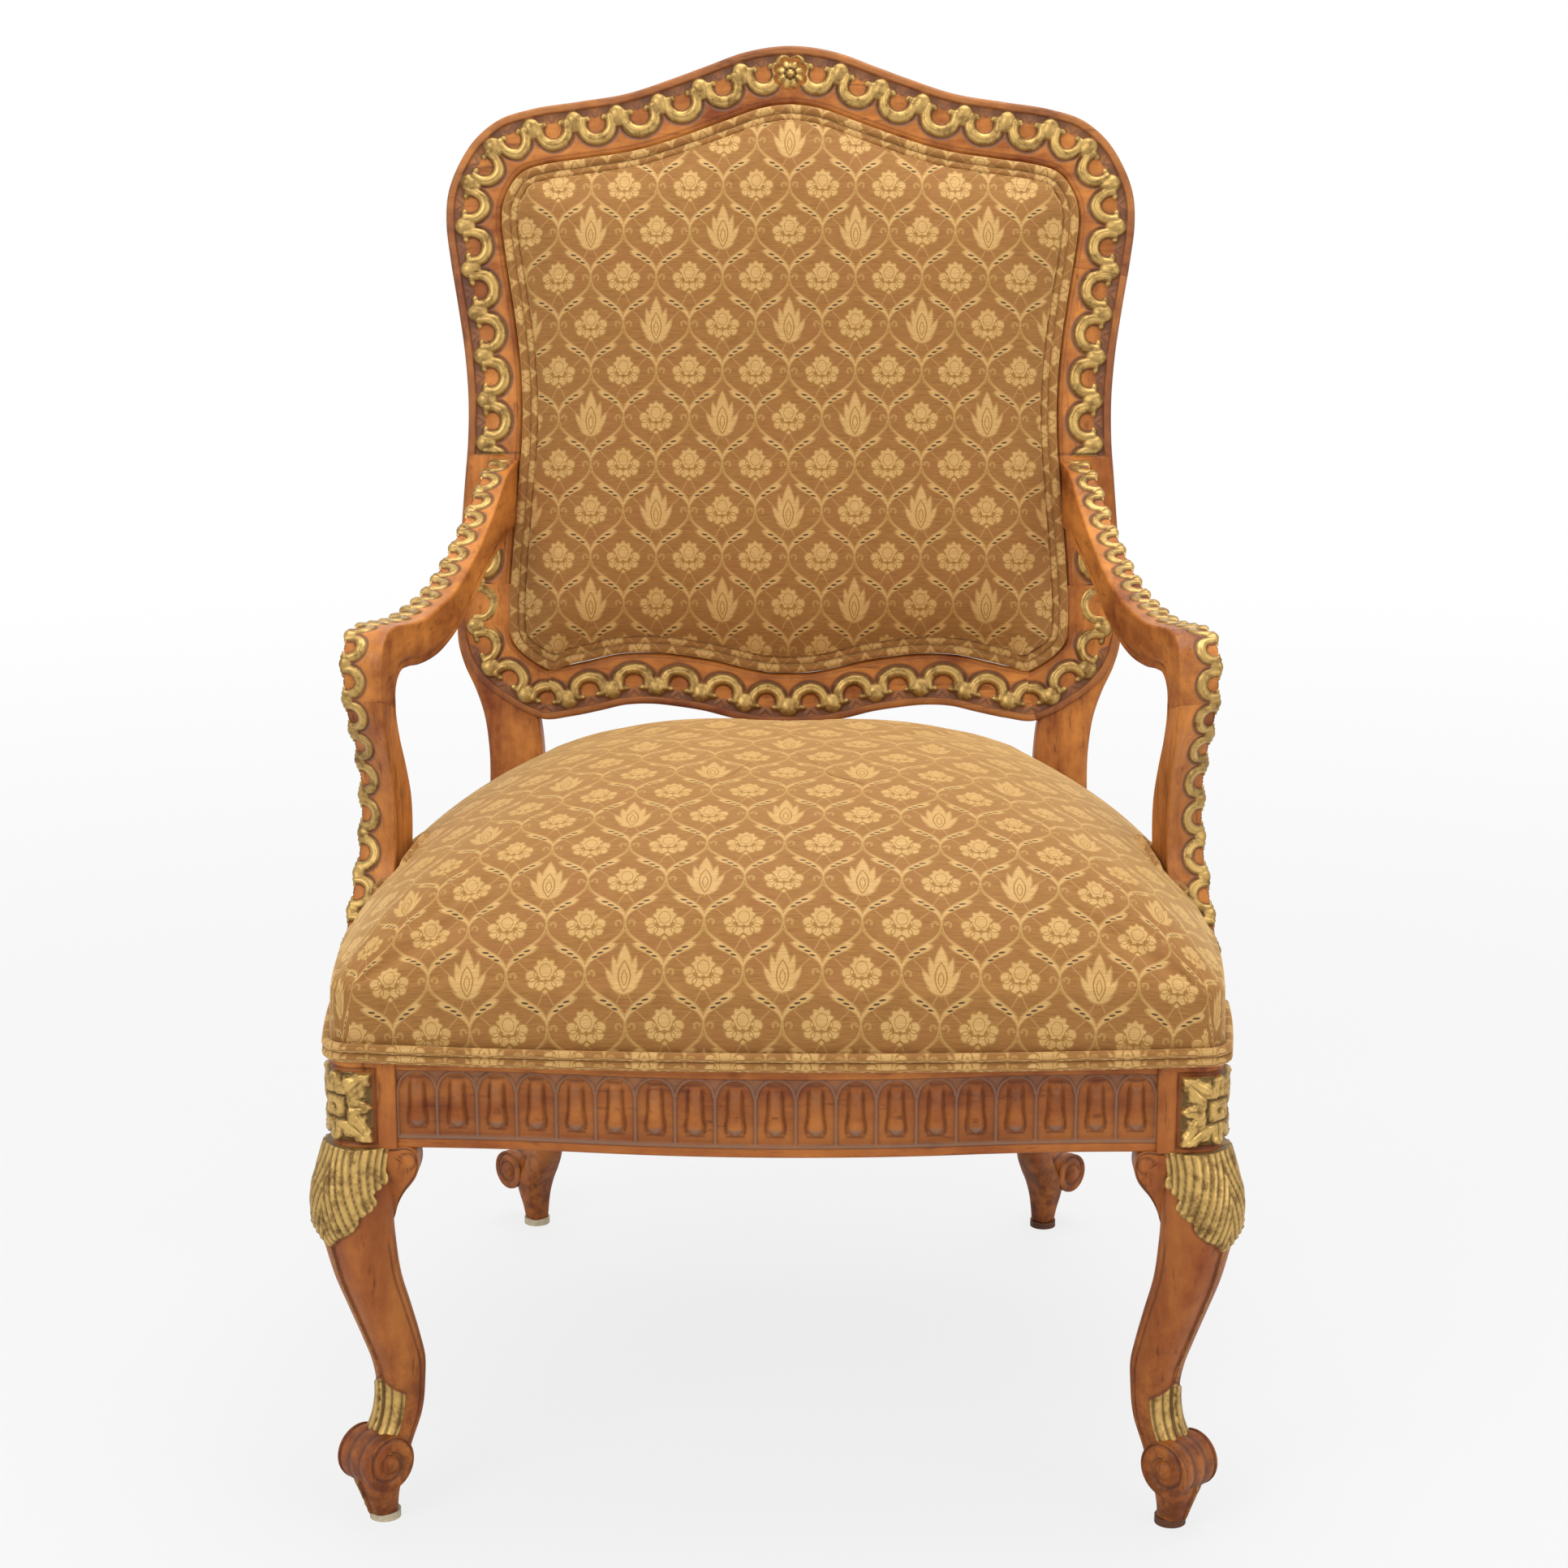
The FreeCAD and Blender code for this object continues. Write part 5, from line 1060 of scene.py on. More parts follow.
def frontLegSkins():
    line = through(frontLegLine, 320)
    z = line[:, :1]
    turn, outline, normal = roundedSquare(frontLeg["columns"], frontLeg["power"])
    half = line[:, 2:] * frontLeg["shrink"]
    # angle from the outward diagonal
    angle = (turn + math.pi) % (2 * math.pi) - math.pi
    around = angle[None, :] * half * 1.1
    relief = np.zeros((len(line), len(turn)))
    gold = np.zeros_like(relief)
    cavity = np.full_like(relief, 0.12)

    leaf, inside, dirtAndShade = acanthus(around, 311 - z + 0 * around)
    relief += leaf * inside
    gold = np.maximum(gold, inside * 0.62)
    cavity = np.clip(cavity + dirtAndShade, 0, 1)

    # leaf above the foot
    share = around / (half * 1.15)
    top = 115 - 11 * np.abs(share)
    inAnkle = np.clip((top - z) / 1.5, 0, 1) * ease(1.12, 1.02, np.abs(share)) * (z > 40)
    flute = np.abs(np.cos(share * 8.5))
    relief += inAnkle * (0.8 + 1.5 * np.sqrt(flute) - 0.6)
    gold = np.maximum(gold, inAnkle * 0.6)
    rim = 0.8 * bell(z - top, 1.2) * (np.abs(share) < 1.1)
    cavity = np.clip(cavity + inAnkle * (1 - flute) ** 2 + rim, 0, 1)

    # bead down both hidden arrises, seen along the inner edge
    onShaft = ease(60, 70, z) * (1 - ease(225, 240, z))
    beside = np.abs(angle[None, :])
    bead = bell((beside - 2.06) * half, 1.5) * onShaft
    groove = (bell((beside - 1.93) * half, 0.8) + bell((beside - 2.2) * half, 0.8)) * onShaft
    relief += bead * 0.9 - groove * 1.1
    cavity = np.clip(cavity + groove * 0.9, 0, 1)

    radial = outline[None] * half[..., None] + normal[None] * relief[..., None]
    out = np.array([1, -1]) / math.sqrt(2)
    side = np.array([1, 1]) / math.sqrt(2)
    centre = np.stack([line[:, 1], -10 - line[:, 1]], axis=1)[:, None, :]
    plan = centre + radial[..., :1] * out + radial[..., 1:] * side
    points = np.concatenate([plan, z[..., None] + 0 * plan[..., :1]], axis=-1)
    leg = skin(points, gold, cavity, flip=True)
    roll = rollSkin(
        frontLeg["rollPlace"], frontLeg["rollRadius"], frontLeg["rollHalf"], -math.pi / 4, frontLeg["bossRadius"],
    )
    return leg, roll, cornerBlockSkin()


block = {
    "half": 330.0, "front": -340.0, "side": 50.0, "round": 20.0, "low": 308.0, "high": 376.0,
    "roseAcross": 30.0, "roseUp": 28.5, "roseMiddle": 33.0,
}


def squareRosette(across, up):
    # Carved leaves from a square boss to the corners and sides of a square, with its middle at the origin
    x, y = across, up
    corner = np.maximum(np.abs(x) / block["roseAcross"], np.abs(y) / block["roseUp"])
    height = np.full(np.shape(x), 0.6)
    # the sunk floor between the leaves is dark: dirt and painted shade
    cavity = np.full(np.shape(x), 0.85)
    for index in range(8):
        tilt = index * math.pi / 4
        reach, wide, rise = (40.0, 11.0, 4.6) if index % 2 else (29.5, 8.0, 3.4)
        along = (x * math.cos(tilt) + y * math.sin(tilt)) / reach
        away = -x * math.sin(tilt) + y * math.cos(tilt)
        half = wide * np.sin(math.pi * np.clip(along, 0, 1) ** 0.75) ** 0.7
        half = half * (1 + 0.14 * np.sin(along * 26)) + 0.01
        body = np.clip(1 - (away / half) ** 2, 0, 1) ** 0.5 * (along > 0.1) * (along < 1)
        curl = 1 + 0.35 * bell(along - 0.82, 0.1)
        rib = bell(away, 0.9) * (along < 0.8)
        vein = 0.5 + 0.5 * np.cos(np.abs(away) * 2.1 + along * 15)
        leaf = rise * body * curl + 0.6 * vein * (body > 0) - 1.3 * rib * (body > 0)
        dirtAndShade = np.clip(1 - 1.5 * body + 0.35 * (1 - vein) + 0.8 * rib, 0, 1)
        cavity = np.where(leaf > height, dirtAndShade, cavity)
        height = np.maximum(height, leaf)
    inside = np.clip((0.98 - corner) * 24 / 1.3, 0, 1)
    boss = np.clip((0.23 - corner) * 24 / 1.5, 0, 1)
    hole = np.exp(-((x ** 2 + y ** 2) / 5.0))
    moat = bell(corner - 0.31, 0.045)
    height = inside * height * (1 - boss) + boss * 4.8 - hole * 4.0 - moat * 2.0 * inside
    cavity = np.clip((cavity * (1 - boss) + moat + hole) * inside, 0, 1)
    rim = bell(corner - 1.01, 0.05) * (1 - inside)
    return height, inside, np.clip(cavity + rim * 0.8, 0, 1)


def cornerBlockSkin():
    outer, front, side, radius = block["half"], block["front"], block["side"], block["round"]
    quarter = np.linspace(-math.pi / 2, 0, 40)
    arc = np.stack([outer - radius + radius * np.cos(quarter), front + radius + radius * np.sin(quarter)], axis=1)
    corners = [
        [(outer - side, front + side)], [(outer - side, front + 3)], [(outer - side + 0.4, front + 0.4)],
        evenly(np.array([(outer - side + 3, front), (outer - radius, front)]), 30)[:-1], arc,
        evenly(np.array([(outer, front + radius), (outer, front + side - 1)]), 30)[1:],
        [(outer - 0.5, front + side)],
    ]
    plan = np.concatenate([np.array(part, float) for part in corners])
    normal = -normals2d(plan)
    run = lengthAlong(plan)
    onArc = np.argmin(np.abs((outer - plan[:, 0]) - (plan[:, 1] - front)) + 1000 * (plan[:, 0] < outer - radius))
    across = run - run[onArc]
    low, high = block["low"], block["high"]
    heights = np.concatenate([[low], np.linspace(low + 0.8, high - 0.5, 78), [high]])
    up = heights[:, None] - block["low"] - block["roseMiddle"]
    height, inside, cavity = squareRosette(across[None, :] + 0 * up, up + 0 * across[None, :])
    visible = (np.abs(across) < 44)[None, :]
    frame = np.clip(1 - inside, 0, 1)
    corner = np.maximum(np.abs(across)[None, :] / block["roseAcross"], np.abs(up) / block["roseUp"])
    sunk = -1.6 * ease(1.07, 1.02, corner) * frame
    relief = (height * inside + sunk) * visible
    gold = inside * 0.62 * visible
    cavity = np.clip(cavity * visible + 0.1, 0, 1)
    flat = plan[None] + normal[None] * relief[..., None]
    points = np.concatenate([flat, heights[:, None, None] + 0 * flat[..., :1]], axis=-1)
    return skin(points, gold, cavity)


legMesh = merged("frontLeg", *frontLegSkins())
bothSides("frontLeg", legMesh, upright, "carved_wood", ["front_leg"])
print("front legs made", flush=True)


# Ears beside the knees: small scrolled brackets under the rails

ear = {"face": -337.5, "depth": 24.0, "bend": 15.0, "centre": (274.0, 295.0)}
earOutline = [
    (300, 308.2), (285, 308.2), (270.5, 308.2), (266.4, 305), (264.6, 298), (265, 291), (267.5, 284), (271.5, 277.5),
    (276.5, 270.5), (281, 262.5), (284.5, 254), (287.5, 244), (292, 237), (300, 242), (304, 280), (300, 308.2),
]


def earSkin():
    line = through(earOutline, 110)[:-1]
    middle = np.array(ear["centre"])
    shares = np.array([1.0, 0.97, 0.93, 0.89, 0.85, 0.81, 0.76, 0.7, 0.6, 0.45, 0.25, 0.04])
    plan = middle + (line - middle) * shares[:, None, None]
    rim = bell(shares - 0.87, 0.05)[:, None] + 0 * line[None, :, 0]
    eye = np.hypot(plan[..., 0] - 273, plan[..., 1] - 297.5)
    dome = 2.2 * np.sqrt(np.clip(1 - (eye / 5.2) ** 2, 0, 1)) - 1.2 * bell(eye - 6.4, 0.9)
    roundOff = 1.6 * np.clip((shares - 0.93) / 0.07, 0, 1) ** 2
    rise = 1.0 + dome - 1.5 * rim - roundOff[:, None]
    bend = ear["bend"] * ease(294, 254, plan[..., 1])
    front = np.stack([plan[..., 0], ear["face"] + bend - rise, plan[..., 1]], axis=-1)
    sides = []
    for deep in (4.0, ear["depth"]):
        bent = ear["face"] + deep + bend[0] * (deep < 10)
        sides.append(np.stack([line[:, 0], bent, line[:, 1]], axis=1))
    points = np.concatenate([front[::-1], np.array(sides)])
    dirtAndShade = np.maximum(rim * 0.9, 0.8 * bell(eye - 6.4, 0.9)) + 0.1
    cavity = np.concatenate([dirtAndShade[::-1], np.full((2, len(line)), 0.2)])
    waxAndHighlight = bell(shares - 0.93, 0.03)[::-1, None] * 0.8 + 0 * rim
    waxAndHighlight = np.concatenate([waxAndHighlight, np.zeros((2, len(line)))])
    return points, cavity, waxAndHighlight


def ears():
    points, cavity, waxAndHighlight = earSkin()
    mesh = merged("frontEar", skin(points, 0.0, cavity, waxAndHighlight))
    bothSides("frontEar", mesh, upright, "carved_wood", ["knee_ear_front"])
    # the same ear turned about the corner's diagonal, under the side rail
    turned = np.stack([-10 - points[..., 1], -10 - points[..., 0], points[..., 2]], axis=-1)
    mesh = merged("sideEar", skin(turned, 0.0, cavity, waxAndHighlight, flip=True))
    bothSides("sideEar", mesh, upright, "carved_wood", ["knee_ear_side"])


ears()
print("knee ears made", flush=True)


# Seat rails: bowed, with a row of fluted arches that hold a baton each

rail = {
    "low": 308.0, "depth": 68.0, "thickness": 28.0, "face": -337.0, "bow": 18.0, "half": 280.0,
    "pitch": 29.5, "sideFront": (327.0, -290.0), "sideRear": (265.0, 198.0), "sideBow": 35.0,
    "fieldLow": 10.0, "springing": 45.5, "fieldHigh": 59.5, "fieldDepth": 2.3, "spandrelDepth": 1.7,
}


def arcThrough(a, b, c, count):
    # Circular arc from a over b to c
    a, b, c = (np.asarray(point, float) for point in (a, b, c))
    chord, rise = (c - a) / 2, b - (a + c) / 2
    half, height = np.linalg.norm(chord), np.linalg.norm(rise)
    if height < 1e-6:
        return a + (c - a) * np.linspace(0, 1, count)[:, None]
    radius = (half ** 2 + height ** 2) / (2 * height)
    middle = (a + c) / 2 + rise / height * (height - radius)
    reach = math.asin(min(half / radius, 1.0))
    if height > radius:
        reach = math.pi - reach
    turn = np.linspace(-reach, reach, count)[:, None]
    return middle + radius * (np.sin(turn) * chord / half + np.cos(turn) * rise / height)


def fluteRelief(run, up):
    # Height, dirt with painted shade, and wax with painted highlights of the fluted rail at a distance along it and a
    # height above its lower edge
    half = rail["pitch"] / 2
    t = np.abs((run + half) % rail["pitch"] - half)
    springing, fieldHigh, floor = rail["springing"], rail["fieldHigh"], -rail["fieldDepth"]
    above = np.maximum(up - springing, 0)
    reach = np.hypot(t, above)
    ribAway = np.where(up < springing, np.abs(t - half), np.abs(reach - half + 0.9))
    rib = rounded(ribAway / np.where(up < springing, 1.5, 1.25))
    inField = (up > rail["fieldLow"]) & (up < fieldHigh)
    inside = (reach < half - 1.2) & inField
    spandrel = (reach > half + 0.2) & (up > springing) & (up < fieldHigh)
    height = np.zeros_like(t + up)
    cavity = np.zeros_like(height) + 0.1
    waxAndHighlight = np.zeros_like(height)
    height = np.where(inField, floor, height)
    height = np.where(spandrel, -rail["spandrelDepth"], height)
    cavity = np.where(spandrel, 0.35, cavity)
    waxAndHighlight = np.where(spandrel, 0.55, waxAndHighlight)
    height = np.where(inField, np.maximum(height, floor + rib * 2.4), height)
    waxAndHighlight = np.maximum(waxAndHighlight, rib * 1.0 * inField)
    cavity = np.where(inField, np.maximum(cavity, 0.8 * bell(ribAway - 1.7, 0.6)), cavity)

    # baton: slim above, swelling to a round bulb below
    bulb = bell(up - 22.5, 6.0)
    batonHalf = 4.7 + 0.7 * np.clip((48 - up) / 26, 0, 1) + 1.1 * bulb
    foot = np.sqrt(np.clip(1 - np.clip((23.0 - up) / 6.6, 0, 1) ** 2, 0, 1))
    head = ease(56, 47, up)
    across = t / np.maximum(batonHalf * np.maximum(foot, 0.05), 0.05)
    body = np.sqrt(np.clip(1 - across ** 2, 0, 1)) * np.sqrt(foot) * head
    swell = 3.4 + 1.8 * bulb
    side = bell(t - batonHalf - 0.6, 1.3) * (up > 17) * head
    height = np.where(inside, height - 1.1 * side, height)
    height = np.where(inside & (body > 0), height + body * swell, height)
    # painted shade: a dark crescent under the baton's bulb, a dark band under the arch at its top and a dark halo
    # beside the baton, along with dirt in the recess
    under = bell(up - 15.6, 1.6) * (t < 7.0) + bell(up - 55.0, 2.0) * (t < 6)
    dirtAndShade = np.maximum(np.maximum(0.42, side * 0.95), np.minimum(under, 1) * 0.95)
    cavity = np.where(inside, np.maximum(cavity, np.where(body > 0.25, 0.3, dirtAndShade)), cavity)
    # painted highlight: a pale grey crescent across the lower end of the bulb
    tipHighlight = 1.3 * bell(up - 19.5, 2.2) * (body > 0.15)
    # greyish wax along the baton's upper ridge, partly a painted highlight
    topWaxAndHighlight = 0.3 * ease(30, 48, up) * bell(across, 0.7) * (up < 50)
    waxAndHighlight = np.where(inside, np.maximum(waxAndHighlight, np.maximum(tipHighlight, topWaxAndHighlight)), waxAndHighlight)

    # fillets below and above the arches
    lowRib = rounded((up - 8.7) / 1.4)
    height = np.where(up < 10.4, lowRib * 0.5 - 0.6 * bell(up - 7.1, 0.5), height)
    waxAndHighlight = np.where((up > 7.2) & (up < 10.4), 0.95, waxAndHighlight)
    cavity = np.where(np.abs(up - 7.0) < 0.6, 0.9, cavity)
    line = bell(up - 59.8, 0.6)
    height = np.where(up >= 59.2, 0.2 - 0.9 * line, height)
    cavity = np.maximum(cavity, line)
    edge = np.minimum(up, rail["depth"] - up)
    height = height - 1.3 * (1 - np.sqrt(np.clip(1 - np.clip(1 - edge / 1.8, 0, 1) ** 2, 0, 1)))
    return height, np.clip(cavity, 0, 1), np.clip(waxAndHighlight, 0, 1)


def flutedRail(line, away, inner):
    # Rail along a line in plan, with its face looking away from the seat and a plain inner side
    run = lengthAlong(line)
    up = np.linspace(0, rail["depth"], 78)
    height, cavity, waxAndHighlight = fluteRelief((run - run[-1] / 2)[:, None] + 0 * up, up + 0 * run[:, None])
    face = line[:, None, :] + away[:, None, :] * height[..., None]
    front = np.concatenate([face, (rail["low"] + up)[None, :, None] + 0 * face[..., :1]], axis=-1)
    top, low = rail["low"] + rail["depth"], rail["low"]
    rear = [np.concatenate([inner, np.full((len(line), 1), z)], axis=1) for z in (top - 0.5, low + 34, low + 0.5)]
    points = np.concatenate([front, np.stack(rear, axis=1)], axis=1)
    pad = np.zeros((len(line), 3))
    return skin(
        points, 0.0, np.concatenate([cavity, pad + 0.1], axis=1), np.concatenate([waxAndHighlight, pad], axis=1),
    )


def seatRails():
    x = np.linspace(-rail["half"], rail["half"], 820)
    half = rail["half"] / 2
    radius = (half ** 2 + (rail["bow"] / 2) ** 2) / rail["bow"]
    inside = rail["bow"] - radius + np.sqrt(radius ** 2 - np.clip(np.abs(x), 0, half) ** 2)
    beyond = radius - np.sqrt(radius ** 2 - np.clip(rail["half"] - np.abs(x), 0, half) ** 2)
    bow = np.where(np.abs(x) < half, inside, beyond)
    line = np.stack([x, rail["face"] - bow], axis=1)
    inner = np.stack([x, np.full(len(x), rail["face"] + rail["thickness"])], axis=1)
    mesh = merged("frontRail", flutedRail(line, -normals2d(line), inner))
    addPiece("frontRail", mesh, crosswise, "carved_wood", "front_seat_rail")
    start, end = np.array(rail["sideFront"]), np.array(rail["sideRear"])
    middle = (start + end) / 2 + (rail["sideBow"], 0)
    line = arcThrough(start, middle, end, 640)
    away = -normals2d(line)
    mesh = merged("sideRail", flutedRail(line, away, line - (rail["thickness"], 0)))
    bothSides("sideRail", mesh, lengthwise, "carved_wood", ["side_seat_rail"])


seatRails()
print("seat rails made", flush=True)


# Padding: a skin of cloth blown up a little by a cloth simulation

def finer(grid):
    # Twice as many rings and columns, on cubics through the old ones; columns run round
    before, after, next2 = (np.roll(grid, shift, axis=1) for shift in (1, -1, -2))
    middle = (9 * (grid + after) - before - next2) / 16
    wide = np.stack([grid, middle], axis=2).reshape(grid.shape[0], -1, grid.shape[2])
    between = (wide[:-1] + wide[1:]) / 2
    between[1:-1] = (9 * (wide[1:-2] + wide[2:-1]) - wide[:-3] - wide[3:]) / 16
    full = np.empty((2 * len(wide) - 1,) + wide.shape[1:])
    full[::2] = wide
    full[1::2] = between
    return full


def cushionFaces(rows, columns, flip):
    # Rings of quads, closed by a fan at the crown
    faces = quads(rows, columns, True, flip)
    base, pole = (rows - 1) * columns, rows * columns
    for k in range(columns):
        following = (k + 1) % columns
        faces.append([base + following, base + k, pole] if flip else [base + k, base + following, pole])
    return faces


def cushionMesh(name, rings, pole, ringMap, poleMap, flip, place=None):
    # Mesh of a cushion from its rings, twice as fine as they are, with one face below
    rings, ringMap = finer(rings), finer(ringMap)
    faces = cushionFaces(rings.shape[0], rings.shape[1], flip)
    floor = list(range(rings.shape[1]))
    faces.append(floor if flip else floor[::-1])
    points = np.concatenate([rings.reshape(-1, 3), [pole]])
    if place is not None:
        points = place(points)
    uv = np.concatenate([ringMap.reshape(-1, 2), [poleMap]])
    return meshFrom(name, points, faces, None, uv)


clothSettings = {
    "quality": 6, "mass": 0.3, "use_pressure": True, "tension_stiffness": 25, "compression_stiffness": 25,
    "shear_stiffness": 12, "bending_stiffness": 2.5, "vertex_group_mass": "held",
}
clothFrames = 20


def swollen(name, points, faces, pinned, cap, pressure):
    # The points after the cloth under pressure has settled, none moved further than the cap
    mesh = meshFrom(f"{name}Draft", points, faces)
    draft = bpy.data.objects.new(f"{name}Draft", mesh)
    bpy.context.scene.collection.objects.link(draft)
    group = draft.vertex_groups.new(name="held")
    group.add(np.nonzero(pinned)[0].tolist(), 1.0, "REPLACE")
    modifier = draft.modifiers.new("cloth", "CLOTH")
    for key, value in clothSettings.items():
        setattr(modifier.settings, key, value)
    modifier.settings.uniform_pressure_force = pressure
    modifier.settings.effector_weights.gravity = 0
    modifier.collision_settings.use_collision = False
    modifier.point_cache.frame_start = 1
    modifier.point_cache.frame_end = clothFrames
    for frameNumber in range(1, clothFrames + 1):
        bpy.context.scene.frame_set(frameNumber)
    held = draft.evaluated_get(bpy.context.evaluated_depsgraph_get())
    places = np.empty(len(points) * 3, np.float32)
    held.data.vertices.foreach_get("co", places)
    bpy.data.objects.remove(draft)
    bpy.context.scene.frame_set(1)
    shift = places.reshape(-1, 3) / milli - points
    length = np.linalg.norm(shift, axis=1)[:, None]
    limit = cap * np.tanh(length / cap) / np.maximum(length, 1e-6)
    return points + shift * limit


# Seat: crowned cushion, flat below, with notches for the posts and the arm supports

seat = {
    "halfFront": 331.0, "halfRear": 266.0, "front": -341.0, "rear": 234.0, "bow": 18.0, "sideBow": 35.0,
    "round": 20.0, "foot": 376.0, "crown": 553.0, "middle": -48.0, "patternX": 5.0, "patternY": 47.0,
    "drop": 5.0, "cap": 12.0, "pressure": 4.0, "clear": 1.0,
}
# share of the rise above the rail, distance drawn in
seatProfile = [
    (0.0, 0.0), (0.07, -1.5), (0.14, -2), (0.22, -1.3), (0.29, 0.5), (0.36, 7), (0.42, 14.5), (0.48, 24), (0.53, 33),
    (0.6, 46), (0.66, 60), (0.72, 77), (0.78, 97), (0.835, 118), (0.88, 140), (0.92, 160), (0.95, 179), (0.978, 204),
]


def seatPlan(inset, counts=(60, 12, 60, 10, 40)):
    # Plan of the seat drawn in by a distance: front, corner, side, rear corner, rear, and mirrored back
    roundFront = seat["round"] + 0.33 * max(inset, 0)
    roundRear = 0.5 * seat["round"] + 0.28 * max(inset, 0)
    halfFront = seat["halfFront"] - inset
    halfRear = seat["halfRear"] - 0.8 * inset
    front = seat["front"] + inset
    rear = seat["rear"] - 0.75 * inset
    fade = max(0.25, 1 - inset / 330)
    nub = math.sqrt(0.5)
    start = (halfFront - roundFront, front)
    corner = (halfFront - roundFront * (1 - nub), front + roundFront * (1 - nub))
    sideFront = (halfFront, front + roundFront)
    sideRear = (halfRear, rear - roundRear)
    sideMiddle = ((halfFront + halfRear) / 2 + seat["sideBow"] * fade, (sideFront[1] + sideRear[1]) / 2)
    rearCorner = (halfRear - roundRear * (1 - nub), rear - roundRear * (1 - nub))
    rearStart = (halfRear - roundRear, rear)
    whole = arcThrough((-start[0], start[1]), (0, front - seat["bow"] * fade), start, 2 * counts[0] + 1)
    half = [
        whole[counts[0]:], arcThrough(start, corner, sideFront, counts[1])[1:],
        arcThrough(sideFront, sideMiddle, sideRear, counts[2])[1:],
        arcThrough(sideRear, rearCorner, rearStart, counts[3])[1:],
        evenly(np.array([rearStart, (0, rear)]), counts[4])[1:],
    ]
    right = np.concatenate(half)
    left = right[1:-1][::-1] * (-1, 1)
    return np.concatenate([right, left])


def supportFootprint(height):
    # Reach of the arm support's back and front faces at a height
    table = np.array([row for row in armLine if row[0] > 400])[::-1]
    front = np.interp(height, table[:, 1], table[:, 0])
    behind = np.interp(height, table[:, 3], table[:, 2])
    return behind, front


def clearOfWood(points, gap):
    # Moves points of the seat's skin out of the posts and the arm supports
    start, length, ahead, out = armPlane()
    sign = np.where(points[:, 0] < 0, -1.0, 1.0)
    plan = np.stack([np.abs(points[:, 0]), points[:, 1]], axis=1)
    postSide, postFront = back["postInner"] - gap, rearLeg["postFront"] - gap
    inPost = (plan[:, 0] > postSide) & (plan[:, 0] < 300) & (plan[:, 1] > postFront)
    byFront = inPost & (plan[:, 1] - postFront <= plan[:, 0] - postSide)
    bySide = inPost & ~byFront
    plan[byFront, 1] = postFront
    plan[bySide, 0] = postSide
    reach = (plan - start) @ ahead
    offset = (plan - start) @ out
    behind, front = supportFootprint(points[:, 2])
    hit = (reach > behind - gap) & (reach < front + gap) & (offset > -gap)
    plan[hit] -= out * (offset[hit] + gap)[:, None]
    return np.stack([plan[:, 0] * sign, plan[:, 1], points[:, 2]], axis=1)


def seatSkin():
    profile = through(seatProfile, 44)
    rings, excess = [], []
    rise = seat["crown"] - seat["foot"]
    heights = seat["foot"] + profile[:, 0] * rise
    run = lengthAlong(np.stack([profile[:, 1], heights], axis=1))
    fromCrown = run[-1] - run
    spare = fromCrown - (profile[-1, 1] - profile[:, 1])
    for inset, height, extra in zip(profile[:, 1], heights, spare):
        plan = seatPlan(inset)
        away = planNormals(plan)
        rings.append(np.concatenate([plan, np.full((len(plan), 1), height)], axis=1))
        excess.append(plan + away * extra)
    last = rings[-1]
    centre = np.array([0, seat["middle"], 0])
    for m in np.linspace(1, 0, 13)[1:]:
        height = seat["crown"] - (seat["crown"] - last[0, 2]) * m ** 2
        ring = centre + (last - centre) * m
        ring[:, 2] = height
        rings.append(ring)
        excess.append(ring[:, :2])
    return np.array(rings[:-1]), np.array([0, seat["middle"], seat["crown"]]), np.array(excess[:-1])


def addSeat():
    # The seat, and the places of its skin for the welts that lie on it
    rings, pole, maps = seatSkin()
    flat = np.concatenate([rings.reshape(-1, 3), [pole]])
    faces = cushionFaces(rings.shape[0], rings.shape[1], False)
    pinned = flat[:, 2] < seat["foot"] + 16
    # a slightly smaller start, as the skin swells
    small = flat.copy()
    small[:, 2] -= seat["drop"] * ease(seat["foot"] + 10, seat["crown"], flat[:, 2])
    grown = swollen("seat", small, faces, pinned, seat["cap"], seat["pressure"])
    shift = np.array([-seat["patternX"], seat["patternY"]])
    mesh = cushionMesh(
        "seat", grown[:-1].reshape(rings.shape), grown[-1], maps + shift,
        np.array([0, seat["middle"]]) + shift, False,
        lambda points: clearOfWood(points, seat["clear"]),
    )
    piece = addPiece("seat", mesh, cloth, "damask", "seat_cover", "seat_wadding", "seat_foam")
    places = np.empty(len(mesh.vertices) * 3, np.float32)
    mesh.vertices.foreach_get("co", places)
    return places.reshape(-1, 3) / milli


seatPlaces = addSeat()
print("seat made", flush=True)


# Upholstered back: crowned pad inside a double welt

pad = {
    "crown": 31.5, "slope": 26.0, "patternX": 0.0, "patternUp": 513.0, "rings": 46, "cap": 6.0, "pressure": 3.0,
    "calmReach": 24.0,
}


def padOutline(distance, count=220):
    # Whole outline of the opening, drawn in by a distance from the frame's inner line
    half = bandLine(widthAlong + distance, halfCount)[1]
    # points that turn back at a tight corner are left out, and the corner is rounded
    angle = np.arctan2(half[:, 0], half[:, 1] - back["middle"])
    furthest = np.maximum.accumulate(angle)
    forward = np.concatenate([[True], angle[1:] > furthest[:-1] + 1e-4])
    half = evenly(half[forward], 2 * count)
    half[0, 0] = half[-1, 0] = 0
    for step in range(24):
        half[1:-1] = smoothed(half)
    right = evenly(half, count)
    return np.concatenate([right, right[1:-1][::-1] * (-1, 1)])


def calmer(plan, shift, reach, share):
    # Shifts averaged over a reach round each point of the plan, as far as the share says
    places, values = plan[::5], shift[::5]
    calm = np.empty_like(shift)
    for start in range(0, len(plan), 2000):
        squares = ((plan[start:start + 2000, None] - places[None]) ** 2).sum(-1)
        weight = np.exp(-squares / (2 * reach ** 2))
        calm[start:start + 2000] = (weight @ values) / weight.sum(axis=1)[:, None]
    return shift + (calm - shift) * share[:, None]


